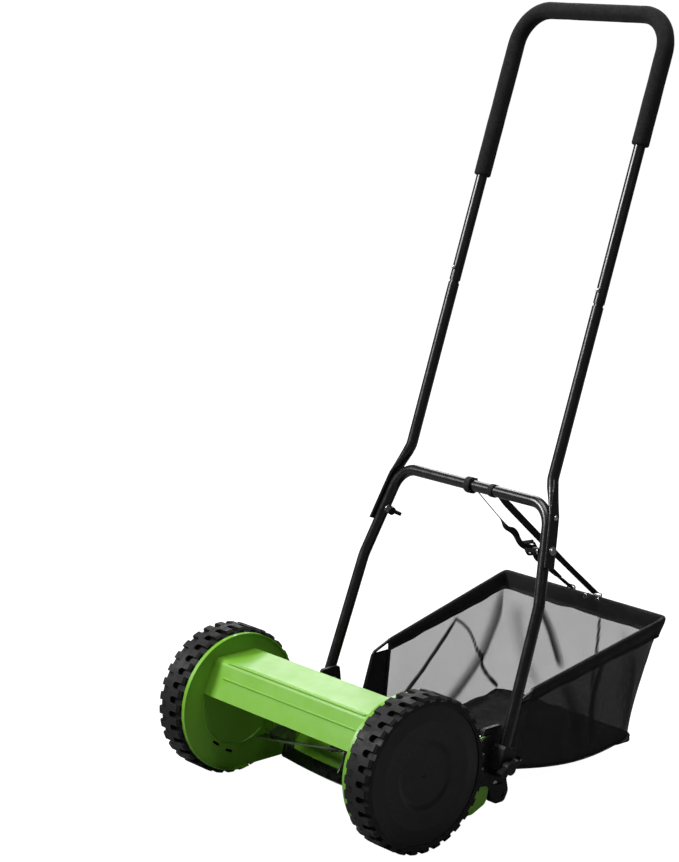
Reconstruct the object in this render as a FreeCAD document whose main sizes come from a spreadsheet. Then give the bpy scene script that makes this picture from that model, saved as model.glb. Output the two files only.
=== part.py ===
import FreeCAD, Part
import math
import os

from FreeCAD import Placement, Rotation, Vector

# Push reel mower with a clip-on grass basket.
# Millimetres, +Z up, +Y to the rear (handle and basket side), X along the wheel axle.
# The origin is on the ground, straight below the middle of the wheel axle.

doc = FreeCAD.newDocument("reel_mower")

# ---------------------------------------------------------------- driving dimensions
DIMENSIONS = {
    # wheels and drive
    "wheel_radius": 105.0, "wheel_width": 44.0, "wheel_inside": 176.0, "tread_depth": 6.5,
    "tread_slots": 32, "tread_slot_width": 10.0, "tread_slot_length": 19.0,
    "rim_outer": 93.0, "rim_inner": 91.0, "hub_radius": 15.0,
    "axle_radius": 6.0, "bush_radius": 8.0, "running_gap": 0.05,
    "gear_module": 2.0, "ring_teeth": 86, "pinion_teeth": 14, "gear_width": 10.0,
    "reel_drop_angle": 30.0,
    # chassis
    "plate_inside": 173.0, "plate_thickness": 1.5, "disc_radius": 98.5,
    "guard_thickness": 1.5, "guard_half": 172.6, "bed_half": 172.6, "bed_thickness": 2.0,
    # reel
    "reel_radius": 54.2, "blade_half": 150.0, "blade_width": 18.0, "blade_thickness": 2.6,
    "blade_count": 5, "blade_twist": -57.0, "blade_phase": 24.0, "blade_lean": 15.0,
    "spider_at": 130.0, "spider_thickness": 2.5,
    "shaft_radius": 6.5, "journal_radius": 5.0, "housing_depth": 20.0,
    # rear roller
    "roller_radius": 22.5, "roller_length": 78.0, "roller_pitch": 97.0, "roller_axle_radius": 3.0,
    "roller_back": 178.5, "arm_inside": 158.5, "arm_thickness": 13.0, "height_travel": 12.0,
    # handle
    "tube_radius": 8.0, "tube_wall": 1.2, "pivot_back": 163.4, "pivot_up": 71.5,
    "upper_half": 143.8, "foam_radius": 12.3, "button_radius": 3.0,
    # basket
    "rim_half_front": 150.0, "rim_half_rear": 165.0, "rim_front_back": 262.0,
    "rim_rear_back": 513.0, "rim_front_up": 150.0, "rim_rear_up": 206.0,
    "floor_half": 138.0, "floor_front_back": 238.0, "floor_rear_back": 474.0, "floor_up": 27.0,
    "mesh_thickness": 2.0, "wire_radius": 2.5, "rim_corner": 10.0,
}

sheet = doc.addObject("Spreadsheet::Sheet", "Dimensions")
for row, (alias, value) in enumerate(DIMENSIONS.items(), start=1):
    sheet.set("A%d" % row, alias)
    sheet.set("B%d" % row, str(value))
    sheet.setAlias("B%d" % row, alias)
doc.recompute()


def dim(alias):
    """Value of one driving dimension."""
    return float(getattr(sheet, alias))


SIDES = {"left": -1, "right": 1}
X_AXIS = Vector(1, 0, 0)
sub_parts = []


# ---------------------------------------------------------------- geometry helpers
def fillet_outline(points):
    """Closed outline as line and arc edges; each point is (u, v) or (u, v, corner radius)."""
    return rounded_edges([Vector(p[0], p[1], 0) for p in points],
                         [p[2] if len(p) > 2 else 0 for p in points], closed=True)


def rounded_edges(points, radii, closed=False):
    """Straight runs joined by tangent arcs of the given corner radii."""
    count = len(points)
    entries, exits, middles = [], [], []
    for i, point in enumerate(points):
        end_point = not closed and i in (0, count - 1)
        if end_point or radii[i] <= 0:
            entries.append(point)
            exits.append(point)
            middles.append(None)
            continue
        back = (points[i - 1] - point).normalize()
        ahead = (points[(i + 1) % count] - point).normalize()
        half = back.getAngle(ahead) / 2
        reach = radii[i] / math.tan(half)
        bisector = (back + ahead).normalize()
        entries.append(point + back * reach)
        exits.append(point + ahead * reach)
        middles.append(point + bisector * (radii[i] / math.sin(half) - radii[i]))
    edges = []
    for i in range(count):
        if middles[i] is not None:
            edges.append(Part.Arc(entries[i], middles[i], exits[i]))
        if i < count - 1 or closed:
            start, end = exits[i], entries[(i + 1) % count]
            if start.distanceToPoint(end) > 1e-6:
                edges.append(Part.LineSegment(start, end))
    return edges


def path_wire(points, radii):
    return Part.Wire([e.toShape() for e in rounded_edges(points, radii)])


def swept_rod(points, radii, radius):
    """Round rod along a path of straight runs and tangent arcs."""
    path = path_wire(points, radii)
    start = (points[1] - points[0]).normalize()
    ring = Part.Wire(Part.makeCircle(radius, points[0], start))
    return path.makePipeShell([ring], True, False)


def swept_tube(points, radii, radius, wall):
    """Round tube, open at both ends."""
    first = (points[1] - points[0]).normalize()
    last = (points[-1] - points[-2]).normalize()
    longer = [points[0] - first * 1] + points[1:-1] + [points[-1] + last * 1]
    return swept_rod(points, radii, radius).cut(swept_rod(longer, radii, radius - wall))


def extruded(edges_or_points, direction):
    """Prism of a closed outline given as 3-D points."""
    wire = Part.makePolygon(edges_or_points + [edges_or_points[0]])
    return Part.Face(wire).extrude(direction)


def rod(start, end, radius):
    run = end - start
    return Part.makeCylinder(radius, run.Length, start, run)


def hexagon_prism(centre, axis, across, height):
    """Hexagonal bolt head or nut that stands on its centre along an axis."""
    turn = Rotation(Vector(0, 0, 1), axis)
    corners = [Vector(across / math.sqrt(3) * math.cos(math.radians(60 * k)),
                      across / math.sqrt(3) * math.sin(math.radians(60 * k)), 0) for k in range(6)]
    return extruded([centre + turn.multVec(c) for c in corners], axis.normalize() * height)


def eight_corner_solid(bottom, top):
    """Closed solid between two four-point rings; its sides are split into triangles."""
    faces = []

    def triangle(a, b, c):
        faces.append(Part.Face(Part.makePolygon([a, b, c, a])))

    def quad(a, b, c, d):
        triangle(a, b, c)
        triangle(a, c, d)

    quad(*bottom)
    quad(*top)
    for i in range(4):
        j = (i + 1) % 4
        quad(bottom[i], bottom[j], top[j], top[i])
    shell = Part.makeShell(faces)
    solid = Part.makeSolid(shell)
    return solid if solid.Volume > 0 else solid.reversed()


def group(shapes):
    return Part.makeCompound(shapes)


# ---------------------------------------------------------------- document helpers
def shape_part(label, shape, base=None):
    """Sub-part whose shape is worked out here from the sheet."""
    feature = doc.addObject("Part::Feature", label)
    feature.Shape = shape
    feature.Placement = Placement(base or Vector(0, 0, 0), Rotation())
    sub_parts.append(feature)
    return feature


def new_body(label, base=None):
    body = doc.addObject("PartDesign::Body", label)
    body.Placement = Placement(base or Vector(0, 0, 0), Rotation())
    sub_parts.append(body)
    return body


def sketch_in(body, role, edges, height=None):
    """Sketch on one of the body's own planes, moved along the plane's normal by an expression."""
    sketch = body.newObject("Sketcher::SketchObject", body.Label + "_sketch")
    plane = next(f for f in body.Origin.OriginFeatures if f.Role == role)
    sketch.AttachmentSupport = [(plane, "")]
    sketch.MapMode = "FlatFace"
    if height:
        sketch.setExpression("AttachmentOffset.Base.z", height)
    sketch.addGeometry(edges, False)
    return sketch


def pad_in(body, role, edges, length, height=None, backwards=False, midplane=False):
    """Pad a closed outline; length and height are spreadsheet expressions."""
    pad = body.newObject("PartDesign::Pad", body.Label + "_pad")
    pad.Profile = sketch_in(body, role, edges, height)
    pad.setExpression("Length", length)
    pad.Reversed = backwards
    pad.Midplane = midplane
    return pad


def pocket_in(body, role, edges):
    """Cut a closed outline right through the body, both ways from the plane."""
    before = solid_volume(body)
    pocket = body.newObject("PartDesign::Pocket", body.Label + "_pocket")
    pocket.Profile = sketch_in(body, role, edges)
    pocket.Type = 1
    pocket.Midplane = True
    doc.recompute()
    if not solid_volume(body) < before:
        raise RuntimeError("pocket cut nothing in " + body.Label)
    return pocket


def solid_volume(body):
    doc.recompute()
    return body.Shape.Volume


def turned_body(label, profile, base):
    """Solid turned about its own X axis; the profile is a list of (x, radius, corner)."""
    body = new_body(label, base)
    revolution = body.newObject("PartDesign::Revolution", label + "_turn")
    sketch = sketch_in(body, "XY_Plane", fillet_outline(profile))
    revolution.Profile = sketch
    revolution.ReferenceAxis = (sketch, ["H_Axis"])
    revolution.Angle = 360
    return body


def circle(u, v, radius):
    return Part.Circle(Vector(u, v, 0), Vector(0, 0, 1), radius)


def slot_outline(u0, v0, u1, v1, radius):
    """Round-ended slot between two centres."""
    run = (Vector(u1, v1, 0) - Vector(u0, v0, 0)).normalize()
    side = Vector(-run.y, run.x, 0) * radius
    a, b = Vector(u0, v0, 0), Vector(u1, v1, 0)
    return [Part.LineSegment(a + side, b + side), Part.Arc(b + side, b + run * radius, b - side),
            Part.LineSegment(b - side, a - side), Part.Arc(a - side, a - run * radius, a + side)]


# ---------------------------------------------------------------- places
WHEEL_CENTRE = Vector(0, 0, dim("wheel_radius"))
CENTRE_DISTANCE = dim("gear_module") * (dim("ring_teeth") - dim("pinion_teeth")) / 2
DROP = math.radians(dim("reel_drop_angle"))
REEL_CENTRE = WHEEL_CENTRE + Vector(0, math.cos(DROP), -math.sin(DROP)) * CENTRE_DISTANCE
PIVOT = Vector(0, dim("pivot_back"), dim("pivot_up"))
ROLLER_CENTRE = Vector(0, dim("roller_back"), dim("roller_radius"))

# The lower handle lies in one leaning plane through the middle of its crossbar,
# the upper handle in a slightly steeper one through the bend of the middle tubes.
LOWER_LEAN = math.radians(20.4)
UPPER_LEAN = math.radians(19.6)
CROSSBAR = Vector(0, 286.8, 403)
BEND = Vector(0, 299.0, 435.8)


def leaning(base, lean, x, up, out=0.0):
    """Point of a leaning plane: x across, up along the plane, out to the rear of it."""
    return base + Vector(x, up * math.sin(lean) + out * math.cos(lean),
                         up * math.cos(lean) - out * math.sin(lean))


def lower(x, up, out=0.0):
    return leaning(CROSSBAR, LOWER_LEAN, x, up, out)


def upper(x, up, out=0.0):
    return leaning(BEND, UPPER_LEAN, x, up, out)


# ---------------------------------------------------------------- side plates
EAR_TOP = 112.0
EAR_END = 150.0
FLANGE_WIDTH = 17.0


def side_plate(name, side):
    """Pressed disc with a rear ear, a turned-in rim, a round bead and a top flange."""
    body = new_body("side_plate_" + name)
    radius = dim("disc_radius")
    centre_up = dim("wheel_radius")
    ear_bottom = centre_up - radius + 1.5
    ear_drop = centre_up - ear_bottom
    start = math.sqrt(radius ** 2 - (EAR_TOP - centre_up) ** 2)
    finish = math.sqrt(radius ** 2 - ear_drop ** 2)
    outline = [
        Part.Arc(Vector(start, EAR_TOP, 0), Vector(-radius, centre_up, 0),
                 Vector(finish, ear_bottom, 0))]
    corners = [(finish, ear_bottom), (124, ear_bottom, 16), (149, 18, 12), (155, 42, 30),
               (156, 92, 14), (EAR_END, EAR_TOP, 6), (start, EAR_TOP)]
    points = [Vector(c[0], c[1], 0) for c in corners]
    outline += rounded_edges(points, [c[2] if len(c) > 2 else 0 for c in corners])
    height = "Dimensions.plate_inside"
    if side < 0:
        height = "-Dimensions.plate_inside - Dimensions.plate_thickness"
    pad_in(body, "YZ_Plane", outline, "Dimensions.plate_thickness", height)
    holes = [circle(0, centre_up, dim("axle_radius")),
             circle(REEL_CENTRE.y, REEL_CENTRE.z, dim("journal_radius") + 3),
             circle(PIVOT.y, PIVOT.z, 3.1)]
    # The clamp bolt's hole sits in a lug that the ear carries behind its rear edge.
    lug = fillet_outline([(140, 50), (PIVOT.y + 9, 56, 9), (PIVOT.y + 9, 90, 10), (140, 96)])
    pad_in(body, "YZ_Plane", lug, "Dimensions.plate_thickness", height)
    pocket_in(body, "YZ_Plane", holes)
    slots = slot_outline(-44, 55, -36, 49, 1.8) + slot_outline(-22, 38, -13, 34, 1.8)
    pocket_in(body, "YZ_Plane", slots)
    return body


def plate_trim(side):
    """Turned-in rim, round bead and top flange, pressed from the same sheet."""
    inside, thick = dim("plate_inside"), dim("plate_thickness")
    radius = dim("disc_radius")
    rim = Part.makeCylinder(radius, 5, WHEEL_CENTRE + Vector(inside - 5, 0, 0), X_AXIS)
    rim = rim.cut(Part.makeCylinder(radius - thick, 5, WHEEL_CENTRE + Vector(inside - 5, 0, 0),
                                    X_AXIS))
    rear = Part.makeBox(8, 120, 140, Vector(inside - 6, 92, 0))
    under = Part.makeBox(8, 200, 30, Vector(inside - 6, 14, 0))
    rim = rim.cut(rear).cut(under)
    bead = Part.makeTorus(62, 1.6, WHEEL_CENTRE + Vector(inside, 0, 0), X_AXIS)
    bead = bead.common(Part.makeBox(4, 200, 220, Vector(inside - 3.99, -150, 0)))
    flange = Part.makeBox(FLANGE_WIDTH, 30, thick, Vector(inside - FLANGE_WIDTH, 103, EAR_TOP - thick))
    flange = flange.cut(Part.makeCylinder(3.1, 10, Vector(inside - 9, 118, EAR_TOP - 6)))
    bead = bead.cut(Part.makeBox(10, 50, 46, Vector(inside - 6, REEL_CENTRE.y - 24,
                                                    REEL_CENTRE.z - 22)))
    trim = rim.fuse(bead).fuse(flange)
    return trim if side > 0 else trim.mirror(Vector(0, 0, 0), X_AXIS)


def pressed_side_plate(name, side):
    body = side_plate("blank_" + name, side)
    sub_parts.remove(body)
    doc.recompute()
    trim = doc.addObject("Part::Feature", "plate_trim_" + name)
    trim.Shape = plate_trim(side)
    fused = doc.addObject("Part::Fuse", "side_plate_" + name)
    fused.Base = body
    fused.Tool = trim
    sub_parts.append(fused)


# ---------------------------------------------------------------- guard, bed plate and knife
def bent_sheet(points, radii, thickness, half):
    line = path_wire([Vector(0, p[0], p[1]) for p in points], radii)
    start = points[0]
    run = Vector(0, points[1][0] - start[0], points[1][1] - start[1]).normalize()
    side = Vector(0, -run.z, run.y) * (thickness / 2)
    middle = Vector(-half, start[0], start[1])
    corners = [middle + side, middle - side, middle - side + X_AXIS * (2 * half),
               middle + side + X_AXIS * (2 * half)]
    section = Part.makePolygon(corners + [corners[0]])
    return line.makePipeShell([section], True, False)


TAB_THICKNESS = 1.5
GUARD_LINE = [(-62, 130), (-38, 176), (30, 176), (33, 172)]


def front_guard():
    """Front guard: a bent sheet with two raised ribs on its front face."""
    half = dim("guard_half")
    shape = bent_sheet(GUARD_LINE, [0, 10, 1.6, 0], dim("guard_thickness"), half)
    lower_edge, bend = Vector(0, *GUARD_LINE[0]), Vector(0, *GUARD_LINE[1])
    outward = Vector(0, -(bend - lower_edge).z, (bend - lower_edge).y).normalize()
    on_face = lower_edge + (bend - lower_edge) * 0.565 + outward * 0.2
    on_bend = bend + Vector(0, 0.5, -1.0)
    for centre in (on_face, on_bend):
        rib = rod(centre - X_AXIS * 142, centre + X_AXIS * 142, 1.9)
        for end in (-142, 142):
            rib = rib.fuse(Part.makeSphere(1.9, centre + X_AXIS * end))
        shape = shape.fuse(rib)
    for side in SIDES.values():
        low = half - TAB_THICKNESS if side > 0 else -half
        tab = Part.makeBox(TAB_THICKNESS, 40, 26, Vector(low, -20, 150))
        bead = Part.makeTorus(62, 1.7, WHEEL_CENTRE + X_AXIS * side * dim("plate_inside"), X_AXIS)
        shape = shape.fuse(tab.cut(bead))
    return shape.removeSplitter()


KNIFE_TOP = 15.0
BED_LINE = [(86, KNIFE_TOP + 1), (99, KNIFE_TOP + 1), (127, 50), (149, 84), (168, 86.5)]


def bed_plate():
    """Rear plate behind the reel, with a curled slot open to each side edge."""
    half = dim("bed_half")
    shape = bent_sheet(BED_LINE, [0, 10, 60, 8, 0], dim("bed_thickness"), half)
    for side in SIDES.values():
        corner = Part.makeBox(60, 60, 60, Vector(0, 0, 0))
        corner.translate(Vector(152 if side > 0 else -212, 127, 45))
        shape = shape.cut(corner)
        neck = Part.makeBox(46, 7, 60, Vector(135 if side > 0 else -181, 112, 25))
        hook = Part.makeCylinder(4.5, 60, Vector(side * 134, 119, 25))
        hook = hook.fuse(Part.makeCylinder(4.5, 60, Vector(side * 130, 126, 25)))
        link = Part.makeBox(9, 10, 60, Vector(side * 132 - 4.5, 117, 25))
        shape = shape.cut(neck.fuse([hook, link]))
    return shape


def bed_knife():
    """Fixed lower blade under the front edge of the bed plate, ground to an edge."""
    half = 152
    top, under = KNIFE_TOP, KNIFE_TOP - 3
    profile = [(62, top - 1.2), (64, top + 0.4), (67, top + 0.4), (70, top), (98, top),
               (98, under), (68, under)]
    blade = extruded([Vector(-half, y, z) for y, z in profile], X_AXIS * (2 * half))
    for x in RIVET_PLACES:
        blade = blade.cut(rod(Vector(x, RIVET_LINE, under - 5), Vector(x, RIVET_LINE, top + 5), 2.5))
    return blade

RIVET_LINE = 93.0
RIVET_PLACES = [-130 + 52 * k for k in range(6)]


def rivets():
    """Countersunk knife rivets and the small rivets that join the guard to the side plates."""
    pieces = []
    for x in RIVET_PLACES:
        low = Vector(x, RIVET_LINE, KNIFE_TOP - 3)
        shank = rod(low, low + Vector(0, 0, 3), 2.5)
        pieces.append(shank.fuse(rod(low - Vector(0, 0, 1.4), low, 4)))
    for side in SIDES.values():
        for y in (-12, 12):
            seat = Vector(side * (dim("guard_half") - TAB_THICKNESS), y, 158)
            pieces.append(rod(seat - X_AXIS * side * 1.6, seat, 3))
    return group(pieces)


def adjusting_bolts():
    """One bolt, washer and nut through each top flange; they set the bed knife."""
    pieces = []
    for side in SIDES.values():
        centre = Vector(side * (dim("plate_inside") - 9), 118, EAR_TOP)
        up = Vector(0, 0, 1)
        bolt = rod(centre - up * 16, centre + up * 1.2, 3)
        washer = rod(centre, centre + up * 1.2, 6.5)
        head = hexagon_prism(centre + up * 1.2, up, 10, 4)
        nut = hexagon_prism(centre - up * 7, up, 10, 5)
        pieces.append(bolt.fuse([washer, head, nut]))
    return group(pieces)


# ---------------------------------------------------------------- wheels and drive
def stub_axle(name, side):
    """Fixed axle riveted into the side plate, with a groove for its circlip."""
    radius = dim("axle_radius")
    outside = side * 211
    inside = side * (dim("plate_inside") - 6)
    shoulder = side * dim("plate_inside")
    groove = side * 207
    profile = [(inside, 0), (inside, radius + 4, 1), (shoulder, radius + 4), (shoulder, radius),
               (groove, radius), (groove, radius - 1), (groove + side * 1.3, radius - 1),
               (groove + side * 1.3, radius), (outside, radius, 1), (outside, 0)]
    return turned_body("stub_axle_" + name, profile, WHEEL_CENTRE)


def circlips():
    rings = []
    for side in SIDES.values():
        start = WHEEL_CENTRE + X_AXIS * (side * 207.65 - 0.5)
        ring = Part.makeCylinder(9, 1, start, X_AXIS)
        ring = ring.cut(Part.makeCylinder(dim("axle_radius") - 0.9, 1, start, X_AXIS))
        gap = Part.makeBox(3, 6, 12, start + Vector(-1, -3, 0))
        rings.append(ring.cut(gap))
    return group(rings)


def tyre(side):
    """Ring with two staggered rows of open-ended, round-bottomed tread slots."""
    outer, width = dim("wheel_radius"), dim("wheel_width")
    inner = dim("rim_outer")
    start = dim("wheel_inside")
    profile = [(start, inner), (start, outer - 3), (start + 3, outer),
               (start + width - 3, outer), (start + width, outer - 3), (start + width, inner)]
    face = Part.Face(Part.makePolygon([Vector(x, 0, r) for x, r in profile + profile[:1]]))
    ring = face.revolve(Vector(0, 0, 0), X_AXIS, 360)
    slot_radius = dim("tread_slot_width") / 2
    depth, length = dim("tread_depth"), dim("tread_slot_length")
    cutters = []
    for row in (0, 1):
        reach = length - slot_radius
        edge = start - 1 if row == 0 else start + width - reach
        round_end = start + reach if row == 0 else start + width - reach
        box = Part.makeBox(reach + 1, 2 * slot_radius, 12,
                           Vector(edge, -slot_radius, outer - depth))
        cutter = box.fuse(Part.makeCylinder(slot_radius, 12,
                                            Vector(round_end, 0, outer - depth)))
        for k in range(int(dim("tread_slots"))):
            turn = 360.0 / dim("tread_slots") * (k + row / 2)
            cutters.append(cutter.rotated(Vector(0, 0, 0), X_AXIS, turn))
    ring = ring.cut(cutters)
    return ring if side > 0 else ring.mirror(Vector(0, 0, 0), X_AXIS)


def wheel_disc(name, side):
    """Smooth closed wheel face with a low ridge and a shallow dish, plus rim and hub."""
    start = dim("wheel_inside") + 2
    face = dim("wheel_inside") + dim("wheel_width")
    rim_out, rim_in = dim("rim_outer"), dim("rim_inner")
    hub, bore = dim("hub_radius"), dim("bush_radius")
    profile = [(start, rim_in), (start, rim_out), (face - 1.5, rim_out), (face - 1, 84, 60),
               (face, 72, 8), (face - 1.2, 62, 20), (face - 2.2, 46, 10), (face - 5, 40, 14),
               (face - 6, 0), (face - 8.5, 0), (face - 8.5, bore + 2), (face - 13.2, bore + 2),
               (face - 13.2, bore), (start, bore), (start, hub),
               (face - 10, hub, 5), (face - 8, 44, 12), (face - 4, 56, 20), (face - 4, rim_in, 3)]
    points = [(side * p[0],) + tuple(p[1:]) for p in profile]
    return turned_body("wheel_disc_" + name, points, WHEEL_CENTRE)


def wheel_bush(name, side):
    start, end = side * (dim("wheel_inside") + 1.2), side * 206.5
    inner = dim("axle_radius") + dim("running_gap")
    profile = [(start, inner), (start, dim("bush_radius")), (end, dim("bush_radius")), (end, inner)]
    return turned_body("wheel_bush_" + name, profile, WHEEL_CENTRE)


def ring_gear(side):
    """Internal gear; its teeth point inward and mesh with the pinion on the reel shaft."""
    module, teeth = dim("gear_module"), int(dim("ring_teeth"))
    pitch = module * teeth / 2
    tip, root = pitch - 0.85 * module, pitch + 1.25 * module
    start, width = dim("wheel_inside") + 2, dim("gear_width")
    step = 2 * math.pi / teeth
    points = []
    for k in range(teeth):
        middle = -DROP + (k + 0.5) * step
        for radius, share in ((root, -0.34), (tip, -0.15), (tip, 0.15), (root, 0.34)):
            angle = middle + share * step
            points.append(Vector(start, radius * math.cos(angle), radius * math.sin(angle)))
    blank = Part.makeCylinder(dim("rim_inner"), width, Vector(start, 0, 0), X_AXIS)
    gear = blank.cut(extruded(points, X_AXIS * width))
    return gear if side > 0 else gear.mirror(Vector(0, 0, 0), X_AXIS)


def pinion(side):
    """Spur pinion with a round pocket that holds the drive pawl."""
    module, teeth = dim("gear_module"), int(dim("pinion_teeth"))
    pitch = module * teeth / 2
    tip, root = pitch + 0.8 * module, pitch - 1.2 * module
    start, width = dim("wheel_inside") + 2.5, dim("gear_width") - 1
    step = 2 * math.pi / teeth
    points = []
    for k in range(teeth):
        middle = -DROP + k * step
        for radius, share in ((root, -0.30), (pitch, -0.21), (tip, -0.10), (tip, 0.10),
                              (pitch, 0.21), (root, 0.30)):
            angle = middle + share * step
            points.append(Vector(start, radius * math.cos(angle), radius * math.sin(angle)))
    gear = extruded(points, X_AXIS * width)
    bore = Part.makeCylinder(dim("journal_radius") + dim("running_gap"), width,
                             Vector(start, 0, 0), X_AXIS)
    pocket = Part.makeCylinder(9.2, 5, Vector(start + width - 5, 0, 0), X_AXIS)
    gear = gear.cut(bore.fuse(pocket))
    return gear if side > 0 else gear.mirror(Vector(0, 0, 0), X_AXIS)


def pawls():
    """Flat drive pawls that slide through the shaft ends inside the pinions."""
    pieces = []
    start = dim("wheel_inside") + dim("gear_width") - 3
    for side in SIDES.values():
        low = start if side > 0 else -start - 3.6
        pawl = Part.makeBox(3.6, 3, 17.4, Vector(low, -1.5, -8.7))
        pawl.translate(REEL_CENTRE)
        pieces.append(pawl)
    return group(pieces)


def reel_shaft():
    body_radius, end_radius = dim("shaft_radius"), dim("journal_radius")
    end = dim("wheel_inside") + 13.5
    profile = [(-end, 0), (-end, end_radius, 0.8), (-150, end_radius), (-150, body_radius, 1),
               (150, body_radius, 1), (150, end_radius), (end, end_radius, 0.8), (end, 0)]
    shaft = turned_body("shaft_blank", profile, REEL_CENTRE)
    sub_parts.remove(shaft)
    slots = doc.addObject("Part::Feature", "shaft_slots")
    slots.Shape = pawls()
    cut = doc.addObject("Part::Cut", "reel_shaft")
    cut.Base = shaft
    cut.Tool = slots
    sub_parts.append(cut)


def blade_section(x, angle):
    """Blade section: a flat strip that leans back from its outer cutting edge."""
    outer, width, thick = dim("reel_radius"), dim("blade_width"), dim("blade_thickness")
    lean = math.radians(dim("blade_lean"))
    radial = Vector(0, math.cos(angle), math.sin(angle))
    around = Vector(0, -math.sin(angle), math.cos(angle))
    run = radial * -math.cos(lean) + around * math.sin(lean)
    flat = radial * math.sin(lean) + around * math.cos(lean)
    edge = Vector(x, 0, 0) + radial * (outer - 1.2)
    corners = [edge, edge + run * width, edge + run * width - flat * thick, edge - flat * thick]
    return Part.makePolygon(corners + [corners[0]])


def reel_blades():
    half, twist = dim("blade_half"), math.radians(dim("blade_twist"))
    blades = []
    for k in range(int(dim("blade_count"))):
        phase = 2 * math.pi * k / dim("blade_count") + math.radians(dim("blade_phase"))
        sections = []
        for step in range(9):
            share = step / 8.0 - 0.5
            sections.append(blade_section(2 * half * share, phase + twist * share))
        blade = Part.makeLoft(sections, True, False)
        blade.translate(REEL_CENTRE)
        blades.append(blade)
    return group(blades)


def reel_spiders():
    """Three thin five-armed plates that carry the blades, each with a centre boss."""
    outer, count = dim("reel_radius"), int(dim("blade_count"))
    half, twist = dim("blade_half"), math.radians(dim("blade_twist"))
    thick = dim("spider_thickness")
    plates = []
    for place in (-dim("spider_at"), 0, dim("spider_at")):
        phase = math.radians(dim("blade_phase")) + twist * place / (2 * half)
        start = Vector(place - thick / 2, 0, 0)
        plate = Part.makeCylinder(15, thick, start, X_AXIS)
        for k in range(count):
            angle = phase + 2 * math.pi * k / count
            radial = Vector(0, math.cos(angle), math.sin(angle))
            around = Vector(0, -math.sin(angle), math.cos(angle))
            tip = radial * (outer - 14.5) + around * 3.5
            arm = [start + around * 9, start + tip + around * 1.5, start + tip - around * 11,
                   start - around * 9]
            plate = plate.fuse(extruded(arm, X_AXIS * thick))
        boss = Part.makeCylinder(10, 12, Vector(place - 6, 0, 0), X_AXIS)
        plate = plate.fuse(boss)
        plate = plate.cut(Part.makeCylinder(dim("shaft_radius"), 14, Vector(place - 7, 0, 0), X_AXIS))
        plate.translate(REEL_CENTRE)
        plates.append(plate)
    blades = reel_blades()
    return group([plate.cut(blades) for plate in plates])


def shaft_spring():
    """Coil spring wound round the left part of the reel shaft, as a ribbed sleeve."""
    base = dim("shaft_radius")
    start, pitch, coils = -149.2, 1.7, 7
    profile = [(start, base)]
    for k in range(coils):
        profile += [(start + pitch * k, base + 0.9), (start + pitch * (k + 0.5), base + 2.1)]
    profile += [(start + pitch * coils, base + 0.9), (start + pitch * coils, base)]
    return turned_body("shaft_spring", profile, REEL_CENTRE)


BEARING_RADIUS, BEARING_WIDTH = 11.0, 8.0


def bearing_housing(name, side):
    """Green box-shaped housing on the inside of each side plate."""
    body = new_body("bearing_housing_" + name)
    y, z = REEL_CENTRE.y, REEL_CENTRE.z
    outline = fillet_outline([(y - 17, z - 17, 7), (y + 17, z - 17, 7), (y + 21, z + 6, 6),
                              (y + 14, z + 19, 6), (y - 17, z + 19, 7)])
    height = "-Dimensions.plate_inside"
    if side > 0:
        height = "Dimensions.plate_inside - Dimensions.housing_depth"
    pad_in(body, "YZ_Plane", outline, "Dimensions.housing_depth", height)
    pocket_in(body, "YZ_Plane", [circle(y, z, BEARING_RADIUS)])
    return body


def reel_bearings():
    rings = []
    for side in SIDES.values():
        for start in (155.0, 164.0):
            low = start if side > 0 else -start - BEARING_WIDTH
            base = REEL_CENTRE + X_AXIS * low
            ring = Part.makeCylinder(BEARING_RADIUS, BEARING_WIDTH, base, X_AXIS)
            bore = dim("journal_radius") + dim("running_gap")
            rings.append(ring.cut(Part.makeCylinder(bore, BEARING_WIDTH, base, X_AXIS)))
    return group(rings)


# ---------------------------------------------------------------- rear roller
RIVET_BACK, RIVET_UP = 168.0, 40.5
ARM_OUTLINE = [(149, 121, 4), (181, 121, 5), (187, 60, 30), (194, 24, 12), (186, 10.5, 8),
               (166, 11, 8), (158, 40, 20), (137.5, 66, 5), (139, 84, 8)]
SLOT_RADIUS = 3.3
ARM_RELIEF, ARM_RELIEF_FROM = 7.5, 96.0
CHEEK_OUTSIDE = 175.9
CHEEK_OUTLINE = [(111, 96, 8), (150, 112, 4), (159, 112, 4), (161, 40, 4), (186, 38, 5),
                 (184, 17, 5), (160, 17, 5), (152, 42, 8), (126, 46, 8), (111, 60, 8)]


def outline_solid(outline, low, high):
    """Solid between two heights over a flat outline of line and arc edges."""
    face = Part.Face(Part.Wire([edge.toShape() for edge in outline]))
    face.translate(Vector(0, 0, low))
    return face.extrude(Vector(0, 0, high - low))


def arm_cheek(side):
    """Thin cover plate outside the side plate, joined to the arm behind the ear's rear edge."""
    inner, outer = dim("plate_inside") + dim("plate_thickness") + 0.3, CHEEK_OUTSIDE
    arm_face = dim("arm_inside") + dim("arm_thickness")
    travel = dim("height_travel") + 1
    flat = outline_solid(fillet_outline(CHEEK_OUTLINE), inner, outer)
    slot = slot_outline(PIVOT.y, PIVOT.z - travel, PIVOT.y, PIVOT.z + travel, SLOT_RADIUS)
    block = fillet_outline([(163, 19, 3), (183, 19, 3), (183, 36, 3), (163, 36, 3)])
    cheek = flat.cut(outline_solid(slot, inner - 1, outer + 1))
    cheek = cheek.fuse(outline_solid(block, arm_face, inner + 0.2))
    axle_hole = Part.makeCylinder(dim("roller_axle_radius") + 0.1, 10,
                                  Vector(ROLLER_CENTRE.y, ROLLER_CENTRE.z, arm_face - 1))
    cheek = cheek.cut(axle_hole)
    cheek.Placement = Placement(Vector(0, 0, 0), Rotation(Vector(1, 1, 1), 120))
    return cheek if side > 0 else cheek.mirror(Vector(0, 0, 0), X_AXIS)


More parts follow.
